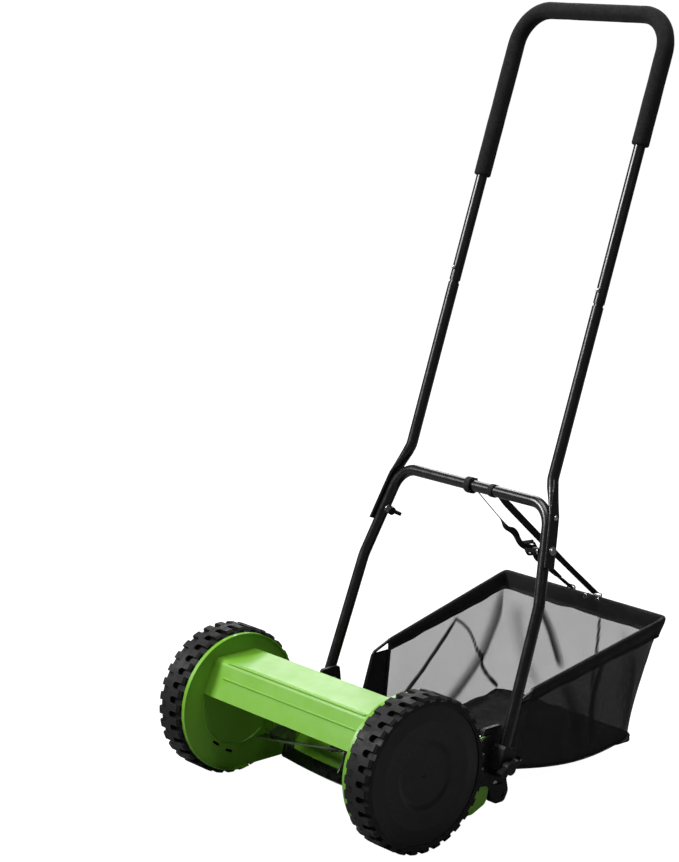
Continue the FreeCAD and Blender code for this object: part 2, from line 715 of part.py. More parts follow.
def roller_arm(name, side):
    """Moulded arm from the roller axle up to the clamp bolt; its long slot sets the height."""
    body = new_body("roller_arm_" + name)
    height = "Dimensions.arm_inside"
    if side < 0:
        height = "-Dimensions.arm_inside - Dimensions.arm_thickness"
    pad_in(body, "YZ_Plane", fillet_outline(ARM_OUTLINE), "Dimensions.arm_thickness", height)
    travel = dim("height_travel") + 1
    pocket_in(body, "YZ_Plane", slot_outline(PIVOT.y, PIVOT.z - travel, PIVOT.y,
                                             PIVOT.z + travel, SLOT_RADIUS))
    pocket_in(body, "YZ_Plane", [circle(ROLLER_CENTRE.y, ROLLER_CENTRE.z,
                                        dim("roller_axle_radius")),
                                 circle(RIVET_BACK, RIVET_UP, 2.2)])
    # The top of the arm is thinner: it is cut back on its inner side.
    doc.recompute()
    relief = doc.addObject("Part::Box", "arm_relief_" + name)
    relief.Length, relief.Width, relief.Height = ARM_RELIEF, 60, 40
    low = dim("arm_inside") if side > 0 else -dim("arm_inside") - ARM_RELIEF
    relief.Placement = Placement(Vector(low, 135, ARM_RELIEF_FROM), Rotation())
    body.Label = "arm_solid_" + name
    sub_parts.remove(body)
    cut = doc.addObject("Part::Cut", "roller_arm_" + name + "_cut")
    cut.Base, cut.Tool = body, relief
    cheek = doc.addObject("Part::Feature", "arm_cheek_" + name)
    cheek.Shape = arm_cheek(side)
    joined = doc.addObject("Part::Fuse", "roller_arm_" + name + "_joined")
    joined.Base, joined.Tool = cut, cheek
    joined.Label = "roller_arm_" + name
    sub_parts.append(joined)


def height_strip(side):
    """Zinc strip with a row of holes on the inside face of the arm, riveted through it."""
    thick = 2.0
    low = dim("arm_inside") - thick
    start, end = Vector(low, 176, 40), Vector(low, 158, 108)
    run = (end - start).normalize()
    across = Vector(0, -run.z, run.y) * 8
    strip = extruded([start + across, start - across, end - across, end + across], X_AXIS * thick)
    travel = dim("height_travel") + 1
    slot = Part.makeBox(8, 6.6, 2 * travel, Vector(low - 3, PIVOT.y - 3.3, PIVOT.z - travel))
    for z in (-travel, travel):
        slot = slot.fuse(Part.makeCylinder(3.3, 8, Vector(low - 3, PIVOT.y, PIVOT.z + z), X_AXIS))
    strip = strip.cut(slot)
    for share in (0.12, 0.9):
        strip = strip.cut(rod(start + run * share * 70 - X_AXIS * 3,
                              start + run * share * 70 + X_AXIS * 5, 2.6))
    outside = dim("arm_inside") + dim("arm_thickness")
    rivet_place = Vector(low, RIVET_BACK, RIVET_UP)
    rivet_end = Vector(outside + 1.2, RIVET_BACK, RIVET_UP)
    strip = strip.fuse(rod(rivet_place, rivet_end, 2.2))
    strip = strip.fuse(rod(rivet_end - X_AXIS * 1.2, rivet_end, 4))
    return strip if side > 0 else strip.mirror(Vector(0, 0, 0), X_AXIS)


def roller_axle():
    end = dim("arm_inside") + dim("arm_thickness") + 1
    radius = dim("roller_axle_radius")
    profile = [(-end, 0), (-end, radius, 0.5), (end, radius, 0.5), (end, 0)]
    return turned_body("roller_axle", profile, ROLLER_CENTRE)


def roller(name, place):
    """Grooved barrel roller with a stepped hub at each end."""
    radius, half = dim("roller_radius"), dim("roller_length") / 2
    bore = dim("roller_axle_radius") + dim("running_gap")
    hub = 7.5
    profile = [(-half - 7, bore), (-half - 7, hub, 1), (-half, hub), (-half, radius - 1.5, 3)]
    grooves = [-0.62, -0.46, -0.08, 0.08, 0.46, 0.62]
    for share in grooves:
        x = half * share
        profile += [(x - 2.2, radius), (x - 1.0, radius - 1.8), (x + 1.0, radius - 1.8),
                    (x + 2.2, radius)]
    profile += [(half, radius - 1.5, 3), (half, hub), (half + 7, hub, 1), (half + 7, bore)]
    return turned_body("roller_" + name, profile, ROLLER_CENTRE + X_AXIS * place)


# ---------------------------------------------------------------- clamp bolts and knobs
def clamp_bolts():
    """Carriage bolts through arm, side plate and handle end."""
    bolts = []
    for side in SIDES.values():
        start = PIVOT + X_AXIS * side * (dim("arm_inside") - 2.4)
        bolt = rod(start, PIVOT + X_AXIS * side * 207, dim("roller_axle_radius"))
        head = rod(start - X_AXIS * side * 2.6, start, 7)
        bolts.append(bolt.fuse(head))
    return group(bolts)


def clamp_knob(side):
    """Winged plastic knob, screwed on the clamp bolt outside the handle end."""
    start = PIVOT + X_AXIS * side * 198.4
    knob = rod(start, start + X_AXIS * side * 10, 8.5)
    for sign in (-1, 1):
        tip = start + Vector(0, sign * 14, sign * 5)
        wing = rod(tip, tip + X_AXIS * side * 9, 4.2)
        web = extruded([start + Vector(0, -2, 5), start + Vector(0, 2, -5),
                        tip + Vector(0, 1, -4), tip + Vector(0, -1, 4)], X_AXIS * side * 9)
        knob = knob.fuse([wing, web])
    bore = rod(start - X_AXIS * side, start + X_AXIS * side * 9,
               dim("roller_axle_radius") + dim("running_gap"))
    return knob.cut(bore)


# ---------------------------------------------------------------- handle
LEG_FOOT = -365.0
LEG_BEND = -136.6
LEG_FOOT_HALF = 187.0
LEG_BEND_HALF = 179.8
CROSSBAR_HALF = 150.0
LEG_SPLAY = math.atan2(LEG_BEND_HALF - CROSSBAR_HALF, -LEG_BEND)


def lower_handle_tube():
    """Lower U: two splayed legs and a crossbar, bent from one tube."""
    points = [lower(-LEG_FOOT_HALF, LEG_FOOT), lower(-LEG_BEND_HALF, LEG_BEND),
              lower(-CROSSBAR_HALF, 0), lower(CROSSBAR_HALF, 0),
              lower(LEG_BEND_HALF, LEG_BEND), lower(LEG_FOOT_HALF, LEG_FOOT)]
    tube = swept_tube(points, [0, 60, 38, 38, 60, 0], dim("tube_radius"), dim("tube_wall"))
    for side in SIDES.values():
        hole = rod(PIVOT + X_AXIS * side * 170, PIVOT + X_AXIS * side * 205,
                   dim("roller_axle_radius") + dim("running_gap"))
        place, axis = handle_bolt_axis(side)
        tube = tube.cut(hole.fuse(rod(place - axis * 20, place + axis * 20, 2.5)))
    return tube


def handle_bolt_axis(side):
    """Centre on the leg and outward direction of the bolt that holds the middle tube."""
    up = -61.9
    half = CROSSBAR_HALF - up * math.tan(LEG_SPLAY)
    along = Vector(side * math.cos(LEG_SPLAY), math.sin(LEG_SPLAY) * math.sin(LOWER_LEAN),
                   math.sin(LEG_SPLAY) * math.cos(LOWER_LEAN))
    return lower(side * half, up), along


def handle_socket(side):
    """Moulded end piece round the foot of a handle leg; the clamp bolt passes through it."""
    foot, top = LEG_FOOT - 4, LEG_FOOT + 38
    inner, outer = 176.2, 196.6
    outline = [(-11, foot + 9), (-7, foot), (7, foot), (11, foot + 9), (11, top - 4),
               (9, top), (-9, top), (-11, top - 4)]
    points = [lower(side * inner, up, out) for out, up in outline]
    block = extruded(points, X_AXIS * side * (outer - inner))
    run = rod(lower(side * LEG_FOOT_HALF, LEG_FOOT), lower(side * LEG_BEND_HALF, LEG_BEND),
              dim("tube_radius"))
    bolt = rod(PIVOT + X_AXIS * side * 170, PIVOT + X_AXIS * side * 205,
               dim("roller_axle_radius") + dim("running_gap"))
    block = block.cut(run.fuse(bolt))
    return block


MIDDLE_ROUND = [(178.9, 325.5), (168.5, 370.0), (163.0, 392.0), (147.5, 425.0), (143.5, 435.8)]
FLAT_HALF_WIDTH = 9.5
FLAT_HALF_THICK = 2.5


def on_lower_plane(x, z):
    return lower(x, (z - CROSSBAR.z) / math.cos(LOWER_LEAN))


def flat_section(side, x, z):
    """Round-ended flat section of the squashed tube end, across the tube."""
    centre = on_lower_plane(side * x, z)
    rear = Vector(0, math.cos(LOWER_LEAN), -math.sin(LOWER_LEAN))
    across = X_AXIS
    core = FLAT_HALF_WIDTH - FLAT_HALF_THICK
    a, b = centre + rear * core, centre - rear * core
    out = across * FLAT_HALF_THICK
    edges = [Part.Arc(a + out, a + rear * FLAT_HALF_THICK, a - out),
             Part.LineSegment(a - out, b - out),
             Part.Arc(b - out, b - rear * FLAT_HALF_THICK, b + out),
             Part.LineSegment(b + out, a + out)]
    return Part.Wire([e.toShape() for e in edges])


def round_section(side, x, z, radius, ahead):
    """Round section across the direction ahead, split at the same places as the flat one."""
    centre = on_lower_plane(side * x, z)
    rear = Vector(0, math.cos(LOWER_LEAN), -math.sin(LOWER_LEAN))
    out = rear.cross(ahead).normalize()
    places = []
    for degrees in (50, 90, 130, 180, 230, 270, 310, 360):
        angle = math.radians(degrees)
        places.append(centre + out * radius * math.cos(angle) + rear * radius * math.sin(angle))
    arcs = [Part.Arc(places[0], places[1], places[2]), Part.Arc(places[2], places[3], places[4]),
            Part.Arc(places[4], places[5], places[6]), Part.Arc(places[6], places[7], places[0])]
    return Part.Wire([a.toShape() for a in arcs])


NECK_START = 243.0
NECK_END = 287.0


def middle_tube(side):
    """Middle tube: squashed flat against the lower leg, swaged to a neck at its top."""
    radius, wall = dim("tube_radius"), dim("tube_wall")
    half = dim("upper_half")
    flat = Part.makeLoft([flat_section(side, *MIDDLE_ROUND[0]), flat_section(side, *MIDDLE_ROUND[1])],
                         True, True)
    flat = flat.fuse(Part.makeLoft([flat_section(side, *MIDDLE_ROUND[1]),
                                    flat_section(side, *MIDDLE_ROUND[2])], True, True))
    start = on_lower_plane(side * MIDDLE_ROUND[3][0], MIDDLE_ROUND[3][1])
    bend = upper(side * 143.5, 0)
    flare = Part.makeLoft([flat_section(side, *MIDDLE_ROUND[2]),
                           round_section(side, *MIDDLE_ROUND[3], radius, bend - start)],
                          True, True)
    shank = swept_rod([start, bend, upper(side * half, NECK_START)], [0, 20, 0], radius)
    neck_radius = radius - wall - 0.15
    neck = rod(upper(side * half, NECK_START - 1), upper(side * half, NECK_END), neck_radius)
    solid = flat.fuse([flare, shank, neck])
    bore_run = [upper(side * 143.5, 12), upper(side * half, NECK_START - 4)]
    bore = rod(bore_run[0], bore_run[1], radius - wall)
    neck_bore = rod(upper(side * half, NECK_START - 6), upper(side * half, NECK_END + 1),
                    neck_radius - wall)
    button_hole = rod(button_centre(side, 0), button_centre(side, 12),
                      dim("button_radius") + dim("running_gap"))
    place, axis = handle_bolt_axis(side)
    bolt_hole = rod(place, place + axis * 20, 2.5)
    stud_hole = rod(*stud_ends(side), 2.0)
    return solid.cut(bore.fuse(neck_bore)).cut([button_hole, bolt_hole, stud_hole])


def stud_ends(side):
    centre = on_lower_plane(side * 163.8, 389.0)
    return centre - X_AXIS * side * 3, centre + X_AXIS * side * 4


def tube_studs():
    """Short studs that locate each middle tube beside the bend of the lower handle."""
    studs = []
    for side in SIDES.values():
        inner, outer = stud_ends(side)
        head = Part.makeSphere(4, outer - X_AXIS * side * 1.9, X_AXIS * side, 0, 90, 360)
        dome = head.common(rod(outer - X_AXIS * side * 0.2, outer + X_AXIS * side * 4, 4.5))
        studs.append(rod(inner, outer, 2.0).fuse(dome))
    return group(studs)


def handle_bolts():
    """Bolt, washers and domed head that hold each middle tube on the lower handle."""
    radius = dim("tube_radius")
    outside = radius + 0.25 + 2 * FLAT_HALF_THICK + 0.45
    bolts = []
    for side in SIDES.values():
        place, axis = handle_bolt_axis(side)
        shank = rod(place - axis * (radius + 9), place + axis * outside, 2.5)
        washer = rod(place + axis * outside, place + axis * (outside + 1), 6.2)
        head = rod(place + axis * (outside + 1), place + axis * (outside + 3.4), 4.6)
        inner = rod(place - axis * (radius + 1.2), place - axis * (radius + 0.1), 6.2)
        bolts.append(shank.fuse([washer, head, inner]))
    return group(bolts)


def wing_nut(side):
    """Plastic wing nut on the inner end of the handle bolt."""
    place, axis = handle_bolt_axis(side)
    start = place - axis * (dim("tube_radius") + 1.5)
    across = Vector(0, math.cos(LOWER_LEAN), -math.sin(LOWER_LEAN))
    nut = rod(start, start - axis * 9, 6.0)
    for sign in (-1, 1):
        outline = [start - axis * 1 + across * sign * 3, start - axis * 3 + across * sign * 7,
                   start - axis * 11 + across * sign * 14, start - axis * 15 + across * sign * 13,
                   start - axis * 14 + across * sign * 10, start - axis * 8.5 + across * sign * 4]
        thick = axis.cross(across).normalize() * 5
        nut = nut.fuse(extruded([p - thick * 0.5 for p in outline], thick))
    bore = rod(start + axis, start - axis * 8, 2.5 + dim("running_gap"))
    return nut.cut(bore)


UPPER_START = 247.0
UPPER_TOP = 655.9
UPPER_CORNER = 53.0


def upper_path(start_left, start_right):
    half = dim("upper_half")
    return [upper(-half, start_left), upper(-half, UPPER_TOP), upper(half, UPPER_TOP),
            upper(half, start_right)]


def upper_handle_tube():
    points = upper_path(UPPER_START, UPPER_START)
    tube = swept_tube(points, [0, UPPER_CORNER, UPPER_CORNER, 0], dim("tube_radius"),
                      dim("tube_wall"))
    holes = [rod(button_centre(side, 0), button_centre(side, 12),
                 dim("button_radius") + dim("running_gap")) for side in SIDES.values()]
    return tube.cut(holes)


def foam_grip():
    """Foam sleeve round the top of the upper handle; its left end reaches lower down."""
    points = upper_path(404.0, 471.0)
    radii = [0, UPPER_CORNER, UPPER_CORNER, 0]
    return swept_tube(points, radii, dim("foam_radius"), dim("foam_radius") - dim("tube_radius"))


BUTTON_UP = 264.5


def button_centre(side, out):
    """Point on the axis of a snap button, measured forward from the tube's middle line."""
    return upper(side * dim("upper_half"), BUTTON_UP, -out)


def snap_button(side):
    """Domed steel button that springs out through both tube walls."""
    radius = dim("button_radius")
    top = dim("tube_radius") + 0.6
    pin = rod(button_centre(side, 2.0), button_centre(side, top), radius)
    axis = (button_centre(side, 1) - button_centre(side, 0)).normalize()
    dome = Part.makeSphere(radius, button_centre(side, top), axis, 0, 90, 360)
    return pin.fuse(dome)


def button_springs():
    """Leaf springs inside the tube necks, behind the buttons."""
    springs = []
    for side in SIDES.values():
        half = side * dim("upper_half")
        leaf = [(6, 1.2), (6, 1.7), (-12, 4.0), (10, 4.3), (10, 4.8), (-14, 4.8), (-14, 4.0)]
        outline = [upper(half - 2, BUTTON_UP + up, back) for up, back in leaf]
        springs.append(extruded(outline, X_AXIS * 4))
    return group(springs)


# ---------------------------------------------------------------- grass basket
def basket_corners(inset=0.0, front=0.0):
    """Floor ring and rim ring of the basket, moved inward or forward."""
    floor_half, up = dim("floor_half") - inset, dim("floor_up")
    floor_front = dim("floor_front_back") - front
    floor_rear = dim("floor_rear_back") - inset
    front_half, rear_half = dim("rim_half_front") - inset, dim("rim_half_rear") - inset
    rim_front, rim_rear = dim("rim_front_back") - front, dim("rim_rear_back") - inset
    bottom = [Vector(-floor_half, floor_front, up + 6), Vector(floor_half, floor_front, up + 6),
              Vector(floor_half, floor_rear, up), Vector(-floor_half, floor_rear, up)]
    top = [Vector(-front_half, rim_front, dim("rim_front_up")),
           Vector(front_half, rim_front, dim("rim_front_up")),
           Vector(rear_half, rim_rear, dim("rim_rear_up")),
           Vector(-rear_half, rim_rear, dim("rim_rear_up"))]
    return bottom, top


def along(bottom, top, share):
    """Ring between the floor ring and the rim ring."""
    return [b + (t - b) * share for b, t in zip(bottom, top)]


def wall_band(low_share, high_share, outset, thickness):
    """Side and rear walls between two heights, open to the front, top and bottom."""
    outer_bottom, outer_top = basket_corners(-outset)
    inner_bottom, inner_top = basket_corners(-outset + thickness, front=FRONT_OPENING)
    outer = eight_corner_solid(along(outer_bottom, outer_top, low_share),
                               along(outer_bottom, outer_top, high_share))
    inner = eight_corner_solid(along(inner_bottom, inner_top, low_share - 0.1),
                               along(inner_bottom, inner_top, high_share + 0.1))
    return outer.cut(inner)


HEM_SHARE = 0.85
FRONT_OPENING = 30.0


def basket_mesh():
    walls = wall_band(0.0, HEM_SHARE, 0.0, dim("mesh_thickness"))
    return walls.cut([basket_hem(), frame_wires()])


def basket_hem():
    """Rim band over the wire, with a hem strip down the front edge of each side wall."""
    band = wall_band(HEM_SHARE, 1.0, 2.5, 7.0)
    bottom, top = basket_corners(-2.5)
    pieces = [band]
    for left, right in ((0, 3), (1, 2)):
        foot, head = bottom[left], bottom[left] + (top[left] - bottom[left]) * 0.8
        back_foot = foot + (bottom[right] - foot).normalize() * 28
        back_head = head + (top[right] - top[left]).normalize() * 28
        inward = Vector(1 if left == 0 else -1, 0, 0) * 2.2
        ring = [foot, back_foot, back_foot + inward, foot + inward]
        upper_ring = [head, back_head, back_head + inward, head + inward]
        pieces.append(eight_corner_solid(ring, upper_ring))
    wires = frame_wires()
    return group([piece.cut(wires) for piece in pieces])


def frame_wires():
    """Bent wire frame: mouth loop, rim loop and the two hooks."""
    bottom, top = basket_corners(1.0)
    sink = Vector(0, 0, -4)
    rim = [top[0] + sink, top[3] + sink, top[2] + sink, top[1] + sink]
    mouth = [rim[0], bottom[0], bottom[1], rim[3]]
    inward = [Vector(1.5, 0, 0), Vector(1.5, 0, 3), Vector(-1.5, 0, 3), Vector(-1.5, 0, 0)]
    mouth = [p + q for p, q in zip(mouth, inward)]
    radius = dim("wire_radius")
    corner = dim("rim_corner")
    rim_wire = swept_rod(rim, [0, corner, corner, 0], radius)
    mouth_wire = swept_rod(mouth, [0, 12, 12, 0], radius)
    pieces = [rim_wire, mouth_wire]
    for side in SIDES.values():
        foot = mouth[1] if side < 0 else mouth[2]
        up_run = ((rim[0] if side < 0 else rim[3]) - foot).normalize()
        root = foot + up_run * 16
        elbow = Vector(side * 168, HOOK.y + 16, HOOK.z + 8)
        pieces.append(swept_rod([root, elbow, Vector(side * 168, HOOK.y, HOOK.z)], [0, 5, 0], 1.8))
        pieces.append(Part.makeSphere(3.2, Vector(side * 168, HOOK.y, HOOK.z)))
        pieces.append(Part.makeSphere(radius * 1.3, rim[0] if side < 0 else rim[3]))
    return pieces[0].fuse(pieces[1:])


HOOK = Vector(0, 207.0, 52.0)


def basket_floor():
    """Stiff floor sheet, a little lower in its middle, with a front lip."""
    sections = []
    bottom = basket_corners()[0]
    front, rear = bottom[0].y + 4, bottom[2].y - 1
    half = dim("floor_half") - 0.5
    for share, level in ((0.0, -1.0), (0.35, -7.0), (0.75, -7.0), (1.0, -1.5)):
        y = front + (rear - front) * share
        z = bottom[0].z + (bottom[2].z - bottom[0].z) * share + level
        corners = [Vector(-half, y, z - 2.6), Vector(half, y, z - 2.6), Vector(half, y, z),
                   Vector(-half, y, z)]
        sections.append(Part.makePolygon(corners + [corners[0]]))
    return Part.makeLoft(sections, True, False)


STRAPS = {"left": (-6.0, -30.0), "right": (41.0, 24.0)}


def strap_ends(crossbar_x, rim_x):
    start = CROSSBAR + Vector(crossbar_x, dim("tube_radius") + 3, -dim("tube_radius") - 1)
    end = Vector(rim_x, dim("rim_rear_back") + 0.5, dim("rim_rear_up") + 3.5)
    return start, end


def basket_straps():
    """Two webbing straps from the crossbar to the rear rim, each with a loop on the tube."""
    pieces = []
    for crossbar_x, rim_x in STRAPS.values():
        start, end = strap_ends(crossbar_x, rim_x)
        run = (end - start).normalize()
        up = Vector(0, -run.z, run.y).normalize()
        wide = X_AXIS * 6.5
        corners = [start - wide - up * 0.7, start + wide - up * 0.7, start + wide + up * 0.7,
                   start - wide + up * 0.7]
        strip = Part.Face(Part.makePolygon(corners + [corners[0]])).extrude(end - start)
        centre = CROSSBAR + X_AXIS * (crossbar_x - 6.5)
        loop = Part.makeCylinder(dim("tube_radius") + 2.6, 13, centre, X_AXIS)
        loop = loop.cut(Part.makeCylinder(dim("tube_radius") + 0.3, 13, centre, X_AXIS))
        pieces.append(strip.fuse(loop))
    return group(pieces)


def strap_buckles():
    """Clips that hold the two straps on the rear rim."""
    pieces = []
    for _, rim_x in STRAPS.values():
        clip = Part.makeBox(18, 3, 14, Vector(rim_x - 9, dim("rim_rear_back") + 3.2,
                                              dim("rim_rear_up") - 11))
        pieces.append(clip)
    return group(pieces)


# ---------------------------------------------------------------- build everything
for side_name, side_sign in SIDES.items():
    pressed_side_plate(side_name, side_sign)
    stub_axle(side_name, side_sign)
    shape_part("tyre_" + side_name, tyre(side_sign), WHEEL_CENTRE)
    wheel_disc(side_name, side_sign)
    wheel_bush(side_name, side_sign)
    shape_part("ring_gear_" + side_name, ring_gear(side_sign), WHEEL_CENTRE)
    shape_part("pinion_" + side_name, pinion(side_sign), REEL_CENTRE)
    bearing_housing(side_name, side_sign)
    roller_arm(side_name, side_sign)
    shape_part("height_strip_" + side_name, height_strip(side_sign))
    shape_part("clamp_knob_" + side_name, clamp_knob(side_sign))
    shape_part("handle_socket_" + side_name, handle_socket(side_sign))
    shape_part("middle_tube_" + side_name, middle_tube(side_sign))
    shape_part("wing_nut_" + side_name, wing_nut(side_sign))
    shape_part("snap_button_" + side_name, snap_button(side_sign))
for roller_name, steps in (("left", -1), ("middle", 0), ("right", 1)):
    roller(roller_name, steps * dim("roller_pitch"))
reel_shaft()
shaft_spring()
roller_axle()
for label, make in (("front_guard", front_guard), ("bed_plate", bed_plate),
                    ("bed_knife", bed_knife), ("rivets", rivets),
                    ("adjusting_bolts", adjusting_bolts), ("axle_circlips", circlips),
                    ("drive_pawls", pawls), ("reel_blades", reel_blades),
                    ("reel_spiders", reel_spiders), ("reel_bearings", reel_bearings),
                    ("clamp_bolts", clamp_bolts), ("lower_handle_tube", lower_handle_tube),
                    ("tube_studs", tube_studs), ("handle_bolts", handle_bolts),
                    ("upper_handle_tube", upper_handle_tube), ("foam_grip", foam_grip),
                    ("button_springs", button_springs), ("basket_wire", frame_wires),
                    ("basket_floor", basket_floor), ("basket_mesh", basket_mesh),
                    ("basket_hem", basket_hem), ("basket_straps", basket_straps),
                    ("strap_buckles", strap_buckles)):
    shape_part(label, make())

doc.recompute()
faults = [o.Label for o in doc.Objects if {"Invalid", "Error"} & set(o.State)]
faults += [p.Label for p in sub_parts if p.Shape.isNull() or not p.Shape.isValid()]
if faults:
    raise RuntimeError("failed sub-parts: " + ", ".join(faults))

os.makedirs("parts", exist_ok=True)
for sub_part in sub_parts:
    sub_part.Shape.exportStep("parts/" + sub_part.Label + ".step")
    print(sub_part.Label, len(sub_part.Shape.Solids), round(sub_part.Shape.Volume))
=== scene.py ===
"""Push reel mower: finishes, fabric basket, straps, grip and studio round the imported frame."""
import math

import bpy
from mathutils import Matrix, Vector, noise


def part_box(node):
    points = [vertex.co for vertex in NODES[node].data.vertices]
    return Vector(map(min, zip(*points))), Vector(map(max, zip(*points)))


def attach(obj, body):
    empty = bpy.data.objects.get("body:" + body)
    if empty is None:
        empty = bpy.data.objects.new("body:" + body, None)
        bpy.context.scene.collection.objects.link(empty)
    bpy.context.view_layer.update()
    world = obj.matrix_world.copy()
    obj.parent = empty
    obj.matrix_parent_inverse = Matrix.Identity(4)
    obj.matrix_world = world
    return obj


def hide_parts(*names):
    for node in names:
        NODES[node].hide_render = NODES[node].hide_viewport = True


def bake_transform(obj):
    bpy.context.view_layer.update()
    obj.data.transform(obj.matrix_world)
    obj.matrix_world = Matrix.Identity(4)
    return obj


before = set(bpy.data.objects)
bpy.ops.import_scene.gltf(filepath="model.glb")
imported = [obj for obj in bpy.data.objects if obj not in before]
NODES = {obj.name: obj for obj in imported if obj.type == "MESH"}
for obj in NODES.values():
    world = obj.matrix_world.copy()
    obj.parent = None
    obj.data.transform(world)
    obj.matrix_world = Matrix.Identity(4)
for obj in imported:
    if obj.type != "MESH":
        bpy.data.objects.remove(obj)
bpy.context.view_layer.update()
MM = 0.001
X_AXIS, Y_AXIS, Z_AXIS = Vector((1, 0, 0)), Vector((0, 1, 0)), Vector((0, 0, 1))


# ---- camera
CAMERA_PLACE = Vector((2.3633, -1.9617, 1.194))
CAMERA_TURN, CAMERA_DIP = math.radians(49.353), math.radians(11.13)


def add_camera():
    """Long lens, a little above the handle's top, looking down from the front right."""
    data = bpy.data.cameras.new("camera")
    data.sensor_width = 36.0
    data.lens = 99.6
    data.shift_x = -0.0179
    data.shift_y = -0.0585
    data.clip_end = 40.0
    camera = bpy.data.objects.new("camera", data)
    bpy.context.scene.collection.objects.link(camera)
    ahead = Vector((-math.sin(CAMERA_TURN) * math.cos(CAMERA_DIP),
                    math.cos(CAMERA_TURN) * math.cos(CAMERA_DIP), -math.sin(CAMERA_DIP)))
    camera.location = CAMERA_PLACE
    camera.rotation_euler = ahead.to_track_quat("-Z", "Y").to_euler()
    bpy.context.scene.camera = camera


add_camera()
bpy.context.scene.view_settings.view_transform = "Standard"


# ---- node helpers
def srgb(red, green, blue):
    """Linear colour of an 8-bit sRGB colour."""
    def channel(value):
        value /= 255
        return value / 12.92 if value <= 0.04045 else ((value + 0.055) / 1.055) ** 2.4
    return channel(red), channel(green), channel(blue), 1.0


class Finish:
    """A Principled material that is built up call by call."""

    def __init__(self, name, colour, roughness, metallic=0.0, **sockets):
        self.material = bpy.data.materials.new(name)
        self.material.use_nodes = True
        self.tree = self.material.node_tree
        self.shader = self.tree.nodes["Principled BSDF"]
        self.colour = colour
        self.shader.inputs["Base Color"].default_value = colour
        self.shader.inputs["Roughness"].default_value = roughness
        self.shader.inputs["Metallic"].default_value = metallic
        for socket, value in sockets.items():
            self.shader.inputs[socket.replace("_", " ")].default_value = value
        self.place = self.node("ShaderNodeTexCoord").outputs["Object"]
        self.normal = None

    def node(self, kind, inputs=None, **settings):
        """Adds a node; each input is a socket to link or a value."""
        made = self.tree.nodes.new(kind)
        for key, value in settings.items():
            setattr(made, key, value)
        for socket, value in (inputs or {}).items():
            if isinstance(value, bpy.types.NodeSocket):
                self.tree.links.new(value, made.inputs[socket])
            else:
                made.inputs[socket].default_value = value
        return made

    def stretched(self, scale):
        """Coordinates stretched so that a pattern runs along one axis."""
        return self.node("ShaderNodeMapping", {"Vector": self.place, "Scale": scale}).outputs[0]

    def noise(self, scale, detail=3.0, rough=0.5, place=None):
        """Soft random pattern with scale features a metre."""
        inputs = {"Vector": place or self.place, "Scale": scale, "Detail": detail,
                  "Roughness": rough}
        return self.node("ShaderNodeTexNoise", inputs).outputs["Fac"]

    def cells(self, scale, output="Distance"):
        """Cell pattern: distance to the cell's middle, or a colour for each cell."""
        inputs = {"Vector": self.place, "Scale": scale}
        return self.node("ShaderNodeTexVoronoi", inputs, feature="F1").outputs[output]

    def math(self, operation, first, second=0.0, third=0.0):
        """One arithmetic step on sockets or numbers."""
        return self.node("ShaderNodeMath", {0: first, 1: second, 2: third},
                         operation=operation).outputs[0]

    def ramp(self, value, low, high, to_low=0.0, to_high=1.0):
        """value moved from the range low..high to another range, smoothly and clamped."""
        return self.node("ShaderNodeMapRange", {"Value": value, "From Min": low, "From Max": high,
                                                "To Min": to_low, "To Max": to_high},
                         interpolation_type="SMOOTHSTEP").outputs[0]

    def tint(self, factor, colour):
        """Mixes another colour over the present one where factor is high."""
        mix = self.node("ShaderNodeMix", {"Factor": factor}, data_type="RGBA")
        present = self.shader.inputs["Base Color"]
        # The colour sockets of a Mix node are its seventh and eighth inputs and third output.
        mix_in, mix_over, mix_out = mix.inputs[6], mix.inputs[7], mix.outputs[2]
        if present.is_linked:
            self.tree.links.new(present.links[0].from_socket, mix_in)
        else:
            mix_in.default_value = self.colour
        mix_over.default_value = colour
        self.tree.links.new(mix_out, present)
        return self

    def rough(self, value, low, high, to_low, to_high):
        """Roughness that follows a pattern."""
        self.tree.links.new(self.ramp(value, low, high, to_low, to_high),
                            self.shader.inputs["Roughness"])
        return self

    def bump(self, height, distance, strength=1.0):
        """Adds relief, distance metres high, over the relief already there."""
        inputs = {"Height": height, "Distance": distance, "Strength": strength}
        if self.normal is not None:
            inputs["Normal"] = self.normal
        self.normal = self.node("ShaderNodeBump", inputs).outputs[0]
        self.tree.links.new(self.normal, self.shader.inputs["Normal"])
        return self

    def edges(self, radius):
        """High where the surface turns within radius: a mask for painting a highlight along edges
        and corners.
        """
        soft = self.node("ShaderNodeBevel", {"Radius": radius}, samples=4).outputs[0]
        flat = self.node("ShaderNodeNewGeometry").outputs["Normal"]
        likeness = self.node("ShaderNodeVectorMath", {0: soft, 1: flat},
                             operation="DOT_PRODUCT").outputs["Value"]
        return self.ramp(self.math("SUBTRACT", 1.0, likeness), 0.018, 0.06)

    def radial(self, centre):
        """Distance from a line along X through centre, which a turning part carries with it."""
        split = self.node("ShaderNodeSeparateXYZ", {0: self.place})
        along = self.math("SUBTRACT", split.outputs["Y"], centre[1])
        up = self.math("SUBTRACT", split.outputs["Z"], centre[2])
        squares = self.math("ADD", self.math("MULTIPLY", along, along),
                            self.math("MULTIPLY", up, up))
        return self.math("SQRT", squares)


def middle_of(node):
    """Middle of a CAD node's box."""
    low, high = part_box(node)
    return (low + high) / 2


WHEEL_AXLE = middle_of("tyre_right")
REEL_AXLE = middle_of("reel_shaft")
BLADE_TIP = 53 * MM                      # radius of the reel's cutting edges


